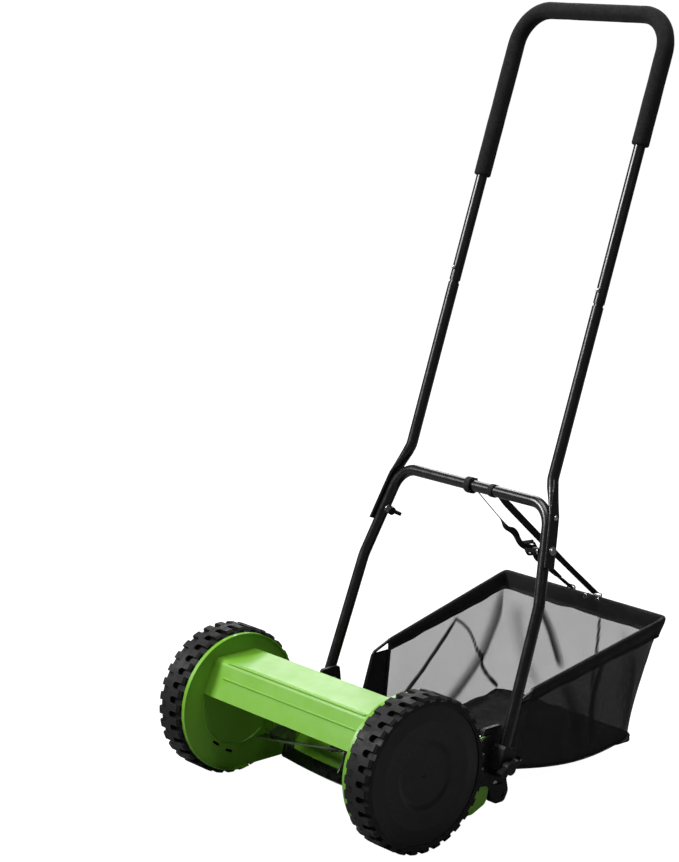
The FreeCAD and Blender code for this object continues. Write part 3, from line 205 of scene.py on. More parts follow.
# ---- finishes
def green_paint():
    """Gloss powder coat: slight orange peel and faint uneven dust."""
    f = Finish("green_paint", srgb(112, 170, 46), 0.36, Coat_Weight=0.12, Coat_Roughness=0.2)
    f.tint(f.ramp(f.noise(9, 4), 0.35, 0.7, 0, 0.3), srgb(104, 160, 42))
    f.tint(f.ramp(f.noise(60, 6, 0.6), 0.55, 0.85, 0, 0.1), srgb(134, 172, 84))
    f.rough(f.noise(35, 5, 0.6), 0.3, 0.75, 0.3, 0.44)
    f.bump(f.noise(420, 2), 0.0001, 0.5)
    return f.bump(f.noise(24, 2), 0.0005, 0.3).material


def black_tube():
    """Satin black powder coat on steel tube."""
    f = Finish("black_tube", srgb(13, 12, 13), 0.28, Coat_Weight=0.12, Coat_Roughness=0.15)
    f.tint(f.ramp(f.noise(30, 5, 0.6), 0.45, 0.8, 0, 0.5), srgb(22, 21, 21))
    f.rough(f.noise(55, 5, 0.65), 0.3, 0.75, 0.23, 0.36)
    f.bump(f.noise(900, 2), 0.00003, 0.4)
    return f.bump(f.noise(70, 3), 0.0001, 0.3).material


def tread():
    """Moulded plastic tread, matte, with a painted highlight in patches along its edges."""
    f = Finish("tread", srgb(17, 16, 16), 0.6, Specular_IOR_Level=0.3)
    f.tint(f.ramp(f.noise(18, 5, 0.6), 0.4, 0.75, 0, 0.5), srgb(26, 25, 25))
    # Painted highlight: paler in patches along the tread's edges.
    f.tint(f.math("MULTIPLY", f.edges(0.0015), f.ramp(f.noise(90, 4), 0.4, 0.7)),
           srgb(60, 58, 57))
    f.rough(f.noise(80, 4), 0.3, 0.7, 0.52, 0.74)
    f.bump(f.noise(650, 3, 0.6), 0.0002, 0.6)
    return f.bump(f.noise(45, 3), 0.0005, 0.35).material


def wheel_face():
    """Smooth moulded cover with faint turning rings and fine scuffs."""
    f = Finish("wheel_face", srgb(19, 19, 20), 0.3, Specular_IOR_Level=0.35)
    radius = f.radial(WHEEL_AXLE)
    rings = f.math("SINE", f.math("MULTIPLY", radius, 5200.0))
    f.tint(f.ramp(f.noise(22, 5, 0.6), 0.45, 0.8, 0, 0.45), srgb(29, 29, 30))
    f.rough(f.noise(40, 6, 0.65), 0.3, 0.75, 0.24, 0.4)
    f.bump(rings, 0.00002, 0.5)
    return f.bump(f.noise(500, 3), 0.0001, 0.4).material


def black_plastic():
    """Grained moulded plastic."""
    f = Finish("black_plastic", srgb(14, 14, 15), 0.48, Specular_IOR_Level=0.3)
    f.tint(f.ramp(f.noise(70, 4), 0.45, 0.75, 0, 0.5), srgb(23, 22, 23))
    # Painted highlight: paler along the plastic's edges.
    f.tint(f.ramp(f.edges(0.0008), 0.3, 1.0, 0, 0.35), srgb(56, 55, 54))
    f.rough(f.noise(120, 4), 0.3, 0.7, 0.4, 0.58)
    return f.bump(f.cells(1400), 0.00008, 0.6).material


def nylon():
    """Off-white bearing nylon."""
    f = Finish("nylon", srgb(206, 202, 190), 0.42, Subsurface_Weight=0.05)
    f.tint(f.ramp(f.noise(160, 4), 0.45, 0.75, 0, 0.5), srgb(182, 176, 160))
    f.rough(f.noise(200, 3), 0.3, 0.7, 0.36, 0.52)
    return f.bump(f.noise(1200, 2), 0.00005, 0.5).material


def steel():
    """Bright zinc-plated fasteners."""
    f = Finish("steel", srgb(196, 197, 200), 0.26, 1.0)
    f.tint(f.ramp(f.noise(240, 5, 0.6), 0.42, 0.7, 0, 0.6), srgb(158, 160, 164))
    f.tint(f.ramp(f.noise(90, 4), 0.58, 0.75, 0, 0.5), srgb(176, 166, 140))
    f.rough(f.noise(300, 4), 0.3, 0.7, 0.2, 0.4)
    return f.bump(f.noise(900, 3), 0.00006, 0.5).material


def spider_steel():
    """Galvanised sheet with a faint spangle."""
    f = Finish("spider_steel", srgb(140, 142, 145), 0.4, 1.0)
    f.tint(f.ramp(f.cells(170, output="Color"), 0.2, 0.8, 0, 0.35), srgb(104, 107, 111))
    f.rough(f.noise(90, 4), 0.3, 0.7, 0.26, 0.46)
    return f.bump(f.noise(700, 3), 0.00006, 0.5).material


def gear_steel():
    """Oiled sintered gear steel."""
    f = Finish("gear_steel", srgb(84, 82, 79), 0.46, 1.0)
    f.tint(f.ramp(f.noise(60, 5, 0.65), 0.45, 0.7, 0, 0.7), srgb(64, 58, 52))
    # Painted highlight: bright steel colour along the gear's edges.
    f.tint(f.edges(0.0008), srgb(170, 168, 162))
    f.rough(f.noise(110, 4), 0.3, 0.7, 0.3, 0.56)
    return f.bump(f.noise(1100, 3), 0.0001, 0.5).material


def blade_steel():
    """Black lacquer on the blades, ground bright at the cutting edge."""
    f = Finish("blade_steel", srgb(14, 14, 16), 0.22, Coat_Weight=0.25, Coat_Roughness=0.1)
    radius = f.radial(REEL_AXLE)
    wander = f.math("MULTIPLY", f.math("SUBTRACT", f.noise(60, 4), 0.5), 0.0016)
    ground = f.ramp(f.math("ADD", radius, wander), BLADE_TIP - 1.2 * MM, BLADE_TIP - 0.6 * MM)
    f.tint(f.ramp(f.noise(45, 5, 0.6), 0.5, 0.8, 0, 0.3), srgb(30, 30, 32))
    f.tint(ground, srgb(205, 206, 208))
    f.tree.links.new(ground, f.shader.inputs["Metallic"])
    f.rough(f.noise(80, 5, 0.6), 0.3, 0.75, 0.12, 0.3)
    grind = f.noise(900, 2, place=f.stretched((6.0, 0.15, 0.15)))
    return f.bump(grind, 0.00006, 0.4).material


def foam():
    """Closed-cell foam with a fine open-looking skin."""
    f = Finish("foam", srgb(16, 15, 15), 0.86, Sheen_Weight=0.06, Sheen_Roughness=0.5,
               Specular_IOR_Level=0.2)
    f.tint(f.ramp(f.noise(40, 5, 0.65), 0.42, 0.75, 0, 0.6), srgb(25, 24, 24))
    # Painted shade: the middle of each foam cell is darker, as shade in its pores.
    f.tint(f.ramp(f.cells(1300), 0.0, 0.35, 0.35, 0.0), srgb(12, 12, 12))
    f.rough(f.noise(200, 3), 0.3, 0.7, 0.78, 0.94)
    f.bump(f.cells(1300), 0.00025, 0.7)
    return f.bump(f.noise(90, 4, 0.6), 0.0006, 0.4).material


NET_PITCH = 1.3 * MM                     # distance between the net's threads


def thread(f, coordinate, pitch):
    """Height of threads that lie side by side along one axis, from 0 to 1."""
    wave = f.math("SINE", f.math("MULTIPLY", coordinate, math.tau / pitch))
    return f.math("MULTIPLY_ADD", wave, 0.5, 0.5)


def cloth_axes(f):
    """The cloth's own two directions in metres, which follow its folds."""
    split = f.node("ShaderNodeSeparateXYZ", {0: f.node("ShaderNodeUVMap").outputs[0]})
    return split.outputs["X"], split.outputs["Y"]


def mesh_net():
    """Black coated net: the cells between its threads let light through. Creases let less through,
    as bunched net with painted shade along them; the right wall lets less through, as painted shade."""
    f = Finish("mesh_net", srgb(34, 32, 35), 0.6, Specular_IOR_Level=0.25)
    across, up = cloth_axes(f)
    warp, weft = thread(f, across, NET_PITCH), thread(f, up, NET_PITCH)
    knot = f.math("MAXIMUM", warp, weft)
    # Painted shade along the creases, partly standing for bunched net: more cover there.
    crease_bunching_and_shade = f.node("ShaderNodeAttribute", attribute_name="crease_bunching_and_shade").outputs["Fac"]
    # Painted shade: the right wall gets more cover, so it reads darker.
    right_wall_shade = f.node("ShaderNodeAttribute", attribute_name="right_wall_shade_cover").outputs["Fac"]
    patchy = f.ramp(f.noise(9, 3), 0.3, 0.7, -0.05, 0.05)
    extra_cover_bunching_and_shade = f.math("ADD", f.math("MULTIPLY", crease_bunching_and_shade, 0.9), f.math("MULTIPLY", right_wall_shade, 0.36))
    threads = f.ramp(f.math("ADD", knot, patchy), 0.5, 0.85, 0.52, 0.84)
    cover = f.math("MINIMUM", f.math("ADD", threads, extra_cover_bunching_and_shade), 1.0)
    f.tree.links.new(cover, f.shader.inputs["Alpha"])
    f.tint(f.ramp(f.noise(55, 4), 0.4, 0.75, 0, 0.5), srgb(46, 43, 48))
    return f.bump(knot, 0.0003, 0.7).material


def woven(name, colour, worn, pitch, roughness=0.72, sheen=0.25):
    """Tight plain weave in the cloth's own directions."""
    f = Finish(name, colour, roughness, Sheen_Weight=sheen, Sheen_Roughness=0.45,
               Specular_IOR_Level=0.2)
    across, up = cloth_axes(f)
    checks = f.math("MULTIPLY", thread(f, across, pitch), thread(f, up, pitch))
    f.tint(f.ramp(f.noise(26, 5, 0.6), 0.42, 0.78, 0, 0.55), worn)
    # Painted shade: darker in the low places of the weave, as shade between the threads.
    f.tint(f.ramp(checks, 0.0, 0.5, 0.35, 0.0), srgb(8, 8, 8))
    f.rough(f.noise(70, 4), 0.3, 0.7, roughness - 0.1, roughness + 0.1)
    f.bump(checks, 0.0003, 0.6)
    return f.bump(f.noise(110, 4, 0.6), 0.0005, 0.35).material


def webbing_weave():
    """Ribbed polyester webbing: cross ribs with painted shade between them, and a fine twill."""
    f = Finish("webbing", srgb(17, 16, 17), 0.66, Sheen_Weight=0.08, Sheen_Roughness=0.4,
               Specular_IOR_Level=0.25)
    across, up = cloth_axes(f)
    ribs = thread(f, up, 1.6 * MM)
    twill = thread(f, f.math("ADD", across, f.math("MULTIPLY", up, 0.6)), 1.3 * MM)
    f.tint(f.ramp(f.noise(90, 4), 0.4, 0.75, 0, 0.6), srgb(30, 29, 30))
    # Painted shade: darker in the grooves between the ribs.
    f.tint(f.ramp(ribs, 0.0, 0.4, 0.4, 0.0), srgb(10, 10, 10))
    f.bump(ribs, 0.0004, 0.7)
    return f.bump(twill, 0.0002, 0.6).material


FINISHES = {
    "green_paint": green_paint(), "black_tube": black_tube(), "tread": tread(),
    "wheel_face": wheel_face(), "black_plastic": black_plastic(), "nylon": nylon(),
    "steel": steel(), "spider_steel": spider_steel(), "gear_steel": gear_steel(),
    "blade_steel": blade_steel(), "foam": foam(), "mesh": mesh_net(),
    "floor_fabric": woven("floor_fabric", srgb(14, 13, 14), srgb(25, 24, 25), 0.9 * MM,
                          sheen=0.06),
    "webbing": webbing_weave(),
}
HEM_CLOTH = woven("hem_cloth", srgb(12, 11, 12), srgb(21, 20, 21), 0.8 * MM, 0.62, 0.08)
THREAD = woven("sewing_thread", srgb(36, 35, 36), srgb(50, 49, 50), 0.5 * MM, sheen=0.1)


def paint_cad_nodes():
    """Gives every CAD node the finish of its material slot."""
    for name, node in NODES.items():
        for holder in node.material_slots:
            slot_name = holder.material.name.split(".")[0]
            if slot_name in FINISHES:
                holder.material = FINISHES[slot_name]
            else:
                print("no finish for", name, holder.material.name)


paint_cad_nodes()


# ---- mesh helpers
def mesh_piece(name, vertices, faces, material, uvs=None):
    """Smooth-shaded mesh object; uvs holds one pair of metres per vertex."""
    data = bpy.data.meshes.new(name)
    data.from_pydata([tuple(v) for v in vertices], [], faces)
    data.polygons.foreach_set("use_smooth", [True] * len(data.polygons))
    if uvs:
        layer = data.uv_layers.new(name="cloth")
        for loop in data.loops:
            layer.data[loop.index].uv = uvs[loop.vertex_index]
    data.materials.append(material)
    data.validate()
    piece = bpy.data.objects.new(name, data)
    bpy.context.scene.collection.objects.link(piece)
    return piece


def grid_faces(rows, columns, wrap=False):
    """Quads between rows of vertices; wrap joins the last column to the first."""
    faces = []
    for r in range(rows - 1):
        for c in range(columns if wrap else columns - 1):
            d = (c + 1) % columns
            faces.append((r * columns + c, r * columns + d, (r + 1) * columns + d,
                          (r + 1) * columns + c))
    return faces


def end_caps(rows, columns):
    """Faces that close the first and last rows of a wrapped grid."""
    return [tuple(range(columns - 1, -1, -1)), tuple(range((rows - 1) * columns, rows * columns))]


def join_meshes(name, parts, material):
    """One mesh object from several (vertices, faces) lists."""
    vertices, faces = [], []
    for part_vertices, part_faces in parts:
        start = len(vertices)
        vertices += part_vertices
        faces += [tuple(start + i for i in face) for face in part_faces]
    return mesh_piece(name, vertices, faces, material)


def rounded_route(points, radii, step):
    """Points along straight runs joined by arcs, about step apart, with their directions."""
    route = []
    for i, point in enumerate(points):
        if i in (0, len(points) - 1) or radii[i] <= 0:
            route.append(point.copy())
            continue
        back, ahead = (points[i - 1] - point).normalized(), (points[i + 1] - point).normalized()
        half_turn = (math.pi - back.angle(ahead)) / 2
        reach = radii[i] * math.tan(half_turn)
        centre = point + (back + ahead).normalized() * (radii[i] / math.cos(half_turn))
        first, last = point + back * reach - centre, point + ahead * reach - centre
        count = max(3, round(2 * half_turn * radii[i] / step))
        axis = first.cross(last).normalized()
        for k in range(count + 1):
            route.append(centre + Matrix.Rotation(2 * half_turn * k / count, 3, axis) @ first)
    dense = [route[0]]
    for a, b in zip(route, route[1:]):
        count = max(1, round((b - a).length / step))
        dense += [a.lerp(b, k / count) for k in range(1, count + 1)]
    return dense


def directions(route, closed=False):
    """Direction of travel at each point of a route."""
    found = []
    count = len(route)
    for i in range(count):
        if closed:
            a, b = route[i - 1], route[(i + 1) % count]
        else:
            a, b = route[max(0, i - 1)], route[min(count - 1, i + 1)]
        found.append((b - a).normalized())
    return found


def bump_noise(place, scale, seed):
    """Smooth noise from -1 to 1."""
    return noise.noise(Vector(place) * scale + Vector((seed, seed * 1.7, -seed)))


# ---- studio
def camera_only(tree, seen, unseen):
    """One value for rays from the camera and another for the light that falls on the object."""
    path = tree.nodes.new("ShaderNodeLightPath").outputs["Is Camera Ray"]
    span = tree.nodes.new("ShaderNodeMapRange")
    span.inputs["To Min"].default_value = unseen
    span.inputs["To Max"].default_value = seen
    tree.links.new(path, span.inputs["Value"])
    return span.outputs["Result"]


def add_studio():
    """Pale floor that runs into a white world, dim to the object, and four area lamps."""
    world = bpy.data.worlds.new("studio")
    world.use_nodes = True
    sky = world.node_tree.nodes["Background"]
    sky.inputs["Color"].default_value = (1.0, 1.0, 1.0, 1.0)
    world.node_tree.links.new(camera_only(world.node_tree, 1.0, 0.11), sky.inputs["Strength"])
    bpy.context.scene.world = world

    paper = Finish("floor_paper", srgb(128, 128, 129), 0.9, Specular_IOR_Level=0.1)
    paper.shader.inputs["Emission Color"].default_value = (1.0, 1.0, 1.0, 1.0)
    paper.tree.links.new(camera_only(paper.tree, 0.99, 0.0),
                         paper.shader.inputs["Emission Strength"])
    paper.bump(paper.noise(120, 3), 0.0002, 0.2)
    half = 30.0
    corners = [(-half, -half, 0), (half, -half, 0), (half, half, 0), (-half, half, 0)]
    floor = mesh_piece("studio_floor", corners, [(0, 1, 2, 3)], paper.material)

    for name, place, target, size, power in (
            ("key", (-1.9, -2.3, 2.6), (0, 0, 0.2), 1.3, 150),
            ("top", (0.1, 0.2, 3.2), (0, 0.2, 0.3), 1.8, 62),
            ("back", (-2.3, 2.1, 2.0), (0, 0.2, 0.4), 1.6, 38),
            ("glint", (2.6, -0.6, 2.6), (0.2, 0, 0.1), 0.3, 7)):
        lamp = bpy.data.lights.new(name, "AREA")
        lamp.size = size
        lamp.energy = power
        holder = bpy.data.objects.new(name, lamp)
        holder.location = place
        towards = Vector(target) - Vector(place)
        holder.rotation_euler = towards.to_track_quat("-Z", "Y").to_euler()
        bpy.context.scene.collection.objects.link(holder)


# ---- cloth helpers
class Cloth:
    """A sheet whose shape is a rule: place(u, v) gives the point u across and v along it, in
    shares of its cut width and length."""

    def __init__(self, place, width, length):
        self.place, self.width, self.length = place, width, length

    def grid(self, columns, rows):
        """Vertices and cloth coordinates of the sheet, row by row."""
        shares = [(c / columns, r / rows) for r in range(rows + 1) for c in range(columns + 1)]
        return ([self.place(u, v) for u, v in shares],
                [(u * self.width, v * self.length) for u, v in shares])

    def piece(self, name, columns, rows, material):
        """The sheet as one open mesh."""
        vertices, uvs = self.grid(columns, rows)
        return mesh_piece(name, vertices, grid_faces(rows + 1, columns + 1), material, uvs)

    def normal(self, u, v):
        """Direction that the cloth faces."""
        reach = 0.002
        along = self.place(min(1, u + reach), v) - self.place(max(0, u - reach), v)
        up = self.place(u, min(1, v + reach * 4)) - self.place(u, max(0, v - reach * 4))
        return along.cross(up).normalized()


STITCH_PITCH, STITCH_LENGTH, STITCH_RADIUS, STITCH_SIDES = 4.4 * MM, 3.2 * MM, 0.42 * MM, 6


def stitch_row(cloth, start, end, proud):
    """Thread stitches laid on a cloth between two (u, v) places, as closed six-sided lozenges."""
    steps = 160
    line = [(start[0] + (end[0] - start[0]) * k / steps, start[1] + (end[1] - start[1]) * k / steps)
            for k in range(steps + 1)]
    run = [cloth.place(*at) for at in line]
    parts, travelled, due = [], 0.0, 0.0
    for at, a, b in zip(line, run, run[1:]):
        travelled += (b - a).length
        if travelled < due or (b - a).length < 1e-6:
            continue
        due = travelled + STITCH_PITCH
        ahead = (b - a).normalized()
        out = cloth.normal(*at)
        side = ahead.cross(out).normalized()
        centre = a + out * proud
        vertices = []
        for share, size in ((-0.5, 0.35), (-0.3, 1.0), (0.3, 1.0), (0.5, 0.35)):
            for k in range(STITCH_SIDES):
                turn = math.tau * k / STITCH_SIDES
                round_it = side * math.cos(turn) + out * math.sin(turn)
                vertices.append(centre + ahead * STITCH_LENGTH * share
                                + round_it * STITCH_RADIUS * size)
        faces = grid_faces(4, STITCH_SIDES, wrap=True)
        faces += end_caps(4, STITCH_SIDES)
        parts.append((vertices, faces))
    return parts


def tube_mesh(route, radius, sides=12, closed=False, grow=None):
    """Tube round a route, capped flat unless closed; grow(share, point) scales its radius."""
    count = len(route)
    across = None
    vertices = []
    ways = directions(route, closed)
    for i, point in enumerate(route):
        ahead = ways[i]
        if across is None:
            across = ahead.orthogonal().normalized()
        across = (across - ahead * across.dot(ahead)).normalized()
        other = ahead.cross(across)
        size = radius * (grow(i / (count - 1), point) if grow else 1.0)
        for k in range(sides):
            turn = math.tau * k / sides
            vertices.append(point + (across * math.cos(turn) + other * math.sin(turn)) * size)
    faces = grid_faces(count, sides, wrap=True)
    if closed:
        last = (count - 1) * sides
        faces += [(last + k, last + (k + 1) % sides, (k + 1) % sides, k) for k in range(sides)]
    else:
        faces += end_caps(count, sides)
    return vertices, faces


def rounded_loop(centre, wide, high, half_wide, half_high, corner):
    """Closed route round a rounded rectangle in the plane of two unit directions."""
    steps = 5
    route = []
    for quarter, (sx, sy) in enumerate(((1, 1), (-1, 1), (-1, -1), (1, -1))):
        middle = Vector((sx * (half_wide - corner), sy * (half_high - corner)))
        for k in range(steps + 1):
            turn = math.radians(90 * quarter + 90 * k / steps)
            x, y = middle + Vector((math.cos(turn), math.sin(turn))) * corner
            route.append(centre + wide * x + high * y)
    return route


def ribbon(route, wides, half_width, thickness):
    """Webbing: a flat band that follows a route; wides holds its width direction at each point."""
    columns = 4
    ahead = directions(route)
    vertices, uvs, travelled = [], [], 0.0
    around = [(side * (1 - 2 * k / columns), side) for side in (1, -1) for k in range(columns + 1)]
    for i, point in enumerate(route):
        travelled += (point - route[i - 1]).length if i else 0.0
        wide = (wides[i] - ahead[i] * wides[i].dot(ahead[i])).normalized()
        out = wide.cross(ahead[i])
        for share, side in around:
            thin = thickness * (0.32 if abs(share) == 1 else 0.5)
            vertices.append(point + wide * half_width * share + out * thin * side)
            uvs.append((share * half_width, travelled))
    count = len(around)
    faces = grid_faces(len(route), count, wrap=True) + end_caps(len(route), count)
    return vertices, faces, uvs


def smooth_step(value, low, high):
    """0 below low, 1 above high and a smooth rise between."""
    share = min(1.0, max(0.0, (value - low) / (high - low)))
    return share * share * (3 - 2 * share)


# ---- basket shape
FLOOR_RING = [Vector((-138, 238, 33)) * MM, Vector((-138, 474, 27)) * MM,
              Vector((138, 474, 27)) * MM, Vector((138, 238, 33)) * MM]
RIM_RING = [Vector((-150, 262, 150)) * MM, Vector((-165, 513, 206)) * MM,
            Vector((165, 513, 206)) * MM, Vector((150, 262, 150)) * MM]
FRONT_TOP, FRONT_FOOT = Vector((150, 231, 131)) * MM, Vector((153, 209, 55)) * MM
HOOK = Vector((168, 207, 52)) * MM       # where the right front wire ends, outside its foot
SIDE_SHARE, REAR_SHARE = 0.3, 0.4        # how the walls divide the way round the ring
CORNER = 0.012                           # how far a rear corner's rounding reaches
NET_TOP = 0.86                           # share of a wall's height where the net ends, under the hem
NET_INSET = 1.6 * MM                     # net inside the ring's outer line
HEM_SHARE = 0.142                        # hem's height as a share of the wall's
HEM_FLAT = (0.842, 0.056)                # rim band cut flat, metres
FRONT_HEM_LONG = 0.082                   # front strips along their wires, metres
WIRE_SINK, WIRE_INSET = 4 * MM, 1 * MM   # rim wire below and inside the ring's line
WIRE_RADIUS = 2.3 * MM
FLOOR_HALF, FLOOR_FRONT, FLOOR_REAR, FLOOR_SAG = 0.1385, 0.241, 0.4755, 0.0155
FLOOR_THICK = 1.6 * MM
EDGE_WIDTH, EDGE_RISE = 0.011, 0.0065    # the floor's turned-up edge


def sag(v):
    """How far the floor hangs down between its front and rear ends."""
    return FLOOR_SAG * math.sin(math.pi * min(1.0, max(0.0, v)) ** 1.15) ** 0.85


def ring_point(ring, share, corner):
    """Point on the left, rear and right sides of a ring, with its two rear corners rounded."""
    edges = [0.0, SIDE_SHARE, SIDE_SHARE + REAR_SHARE, 1.0]

    def straight(at):
        leg = 0 if at < edges[1] else 1 if at < edges[2] else 2
        return ring[leg].lerp(ring[leg + 1], (at - edges[leg]) / (edges[leg + 1] - edges[leg]))

    for k in (1, 2):
        reach = corner / (ring[2] - ring[1]).length * REAR_SHARE
        if abs(share - edges[k]) < reach:
            t = (share - edges[k] + reach) / (2 * reach)
            a, b = straight(edges[k] - reach), straight(edges[k] + reach)
            return a * (1 - t) ** 2 + ring[k] * 2 * t * (1 - t) + b * t * t
    return straight(share)


def wall_frame(share, corner=CORNER):
    """Foot and head of the wall at a share of the way round, and its outward direction."""
    foot, head = ring_point(FLOOR_RING, share, corner), ring_point(RIM_RING, share, corner)
    reach = 0.01
    ahead = (ring_point(RIM_RING, min(1, share + reach), corner)
             - ring_point(RIM_RING, max(0, share - reach), corner))
    out = (head - foot).cross(ahead).normalized()
    if out.dot(head - Vector((0, 0.38, head.z))) < 0:
        out = -out
    return foot, head, out


def ridge(u, v, start, end, bow, width, height):
    """Height of a crease that runs from start to end in wall shares, bowed to one side."""
    a, b = Vector(start), Vector(end)
    run = b - a
    t = (Vector((u, v)) - a).dot(run) / run.length_squared
    if not -0.1 < t < 1.1:
        return 0.0
    off = (Vector((u, v)) - a - run * t).dot(Vector((-run.y, run.x)).normalized())
    off -= bow * math.sin(math.pi * min(1, max(0, t)))
    fade = smooth_step(t, -0.1, 0.15) * (1 - smooth_step(t, 0.85, 1.1))
    return height * fade * math.exp(-(off / width) ** 2)


# Creases of the net: wall, start, end, bow, width, height in metres, strength of the painted shade
# line along the crease (partly bunched net).
CREASES = (
    ("left", (0.00, 0.02), (0.54, 0.88), 0.02, 0.013, 0.0050, 2.2),
    ("left", (0.45, 0.00), (0.98, 0.97), -0.09, 0.045, 0.0070, 0.4),
    ("left", (0.56, 0.93), (0.76, 0.50), 0.03, 0.005, 0.0022, 1.1),
    ("left", (0.76, 0.50), (1.00, 0.03), -0.03, 0.006, 0.0026, 1.8),
    ("left", (0.30, 0.05), (0.42, 0.60), 0.04, 0.05, -0.0040, 0.0),
    ("rear", (0.24, 0.92), (0.45, 0.42), 0.02, 0.022, 0.0050, 0.6),
    ("rear", (0.10, 0.85), (0.30, 0.15), -0.05, 0.045, -0.0045, 0.12),
    ("rear", (0.63, 0.97), (0.67, 0.30), 0.01, 0.005, 0.0022, 1.1),
    ("rear", (0.80, 0.90), (0.90, 0.20), 0.02, 0.03, 0.0035, 0.1),
    ("right", (0.25, 0.95), (0.50, 0.10), 0.04, 0.04, 0.0050, 0.1),
    ("right", (0.55, 0.98), (0.62, 0.15), -0.03, 0.018, 0.0035, 0.25),
    ("right", (0.80, 0.90), (0.92, 0.10), 0.03, 0.03, -0.0045, 0.1),
)


def wall_shares(share):
    """Name of the wall and how far along it, front to rear or left to right."""
    if share < SIDE_SHARE:
        return "left", share / SIDE_SHARE
    if share < SIDE_SHARE + REAR_SHARE:
        return "rear", (share - SIDE_SHARE) / REAR_SHARE
    return "right", 1 - (share - SIDE_SHARE - REAR_SHARE) / SIDE_SHARE


def fold_at(share, v):
    """Crease height and strength of the painted crease shade, partly bunched net, at a place on the
    walls.
    """
    wall, along = wall_shares(share)
    height = bunching_and_shade = 0.0
    for name, start, end, bow, width, high, strength in CREASES:
        if name == wall:
            lift = ridge(along, v, start, end, bow, width, high)
            height += lift
            bunching_and_shade += strength * abs(lift / high)
    return height, min(1.0, bunching_and_shade)


def wall_place(share, v):
    """Net wall: follows the sagging floor below, and bellies and creases between its edges."""
    foot, head, out = wall_frame(share)
    point = foot.lerp(head, 0.004 + NET_TOP * v)
    wall, depth = wall_shares(share)
    if wall != "rear":
        point.z -= sag(depth) * (1 - v) ** 2
    held = math.sin(math.pi * v) ** 0.7
    middle = math.sin(math.pi * depth)
    slack = -0.0035 * held * (1 - middle) - 0.0022 * held * middle
    slack += 0.0028 * bump_noise(point, 14, 3) * held + 0.0011 * bump_noise(point, 38, 9) * held
    crease, _ = fold_at(share, v)
    return point + out * (slack - crease * held - NET_INSET)


def net_walls():
    """Slack net walls with the creases of a bag that has been folded."""
    around = (RIM_RING[1] - RIM_RING[0]).length * 2 + (RIM_RING[2] - RIM_RING[1]).length
    tall = (RIM_RING[1] - FLOOR_RING[1]).length * NET_TOP
    cloth = Cloth(wall_place, around, tall)
    columns, rows = 260, 56
    walls = cloth.piece("basket_net_walls", columns, rows, FINISHES["mesh"])
    bunching_and_shade = walls.data.attributes.new("crease_bunching_and_shade", "FLOAT", "POINT")
    right_wall_shade_layer = walls.data.attributes.new("right_wall_shade_cover", "FLOAT", "POINT")
    for index in range(len(walls.data.vertices)):
        share, v = index % (columns + 1) / columns, index // (columns + 1) / rows
        # Painted shade line along each crease, partly bunched net.
        bunching_and_shade.data[index].value = fold_at(share, v)[1]
        # Painted shade: the right wall is marked for more cover, so it reads darker.
        right_wall_shade_layer.data[index].value = smooth_step(share, 0.66, 0.74)
    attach(walls, "basket")
    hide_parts("basket_mesh")


def folded_band(route_point, hang, wide, gap, seed, free_wave):
    """Rule of a strip folded over a wire: u along the wire, v from one free edge to the other."""
    bend = math.pi * gap / 2

    def place(u, v):
        centre, down, out = route_point(u)
        size = hang(u)
        s = (2 * v - 1) * (size + bend)
        side = 1 if s >= 0 else -1
        depth = abs(s) - bend
        if depth < 0:
            turn = s / gap
            return centre - down * gap * math.cos(turn) + out * gap * math.sin(turn)
        share = depth / size
        point = centre + down * depth
        apart = gap + (0.0008 - gap) * smooth_step(share, 0.15, 0.95)
        wave = 0.0016 * bump_noise(point, 24, seed) + 0.0007 * bump_noise(point, 70, seed + 4)
        puff = 0.0007 * bump_noise(point + out * side * 0.05, 45, seed + 8)
        puff *= math.sin(math.pi * share)
        point += down * free_wave * bump_noise(centre, 30, seed + 2) * share
        return point + out * (side * apart + wave * share + puff)

    return Cloth(place, wide, 2 * (hang(0.5) + bend))


def rim_route(u):
    """Rim wire at a share of the way round: its place, the way down the wall and outward."""
    foot, head, out = wall_frame(u, 0.010)
    down = (foot - head).normalized()
    return head - out * WIRE_INSET + Vector((0, 0, -WIRE_SINK)), down, out


def mirrored(point, side):
    """A point of the right half, on the right for side 1 and on the left for side -1."""
    return Vector((side * point.x, point.y, point.z))


def side_strip(side):
    """Route and width of the strip folded over a front wire: it runs back to the net's edge."""
    foot, head, _ = wall_frame(0.0 if side < 0 else 1.0)

    def edges(u):
        return (mirrored(FRONT_FOOT, side).lerp(mirrored(FRONT_TOP, side), u),
                foot.lerp(head, 0.10 + 0.76 * u))

    def route(u):
        front, back = edges(u)
        return front, (back - front).normalized(), Vector((side, 0, 0))

    def hang(u):
        front, back = edges(u)
        return (back - front).length + 0.001 + 0.001 * math.sin(9 * u)

    return route, hang


def front_wires():
    """The rim wire's two ends: bent down in front of the net to the hooks."""
    for side, name in ((-1, "left"), (1, "right")):
        start = mirrored(RIM_RING[3], side) - Z_AXIS * WIRE_SINK
        corner = mirrored(FRONT_TOP, side) + Vector((0, 0.001, 0.003))
        route = rounded_route([start, corner, mirrored(FRONT_FOOT, side), mirrored(HOOK, side)],
                              [0, 8 * MM, 6 * MM, 0], 3 * MM)
        wire = join_meshes("basket_front_wire_" + name, [tube_mesh(route, WIRE_RADIUS)],
                           FINISHES["black_tube"])
        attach(wire, "basket")


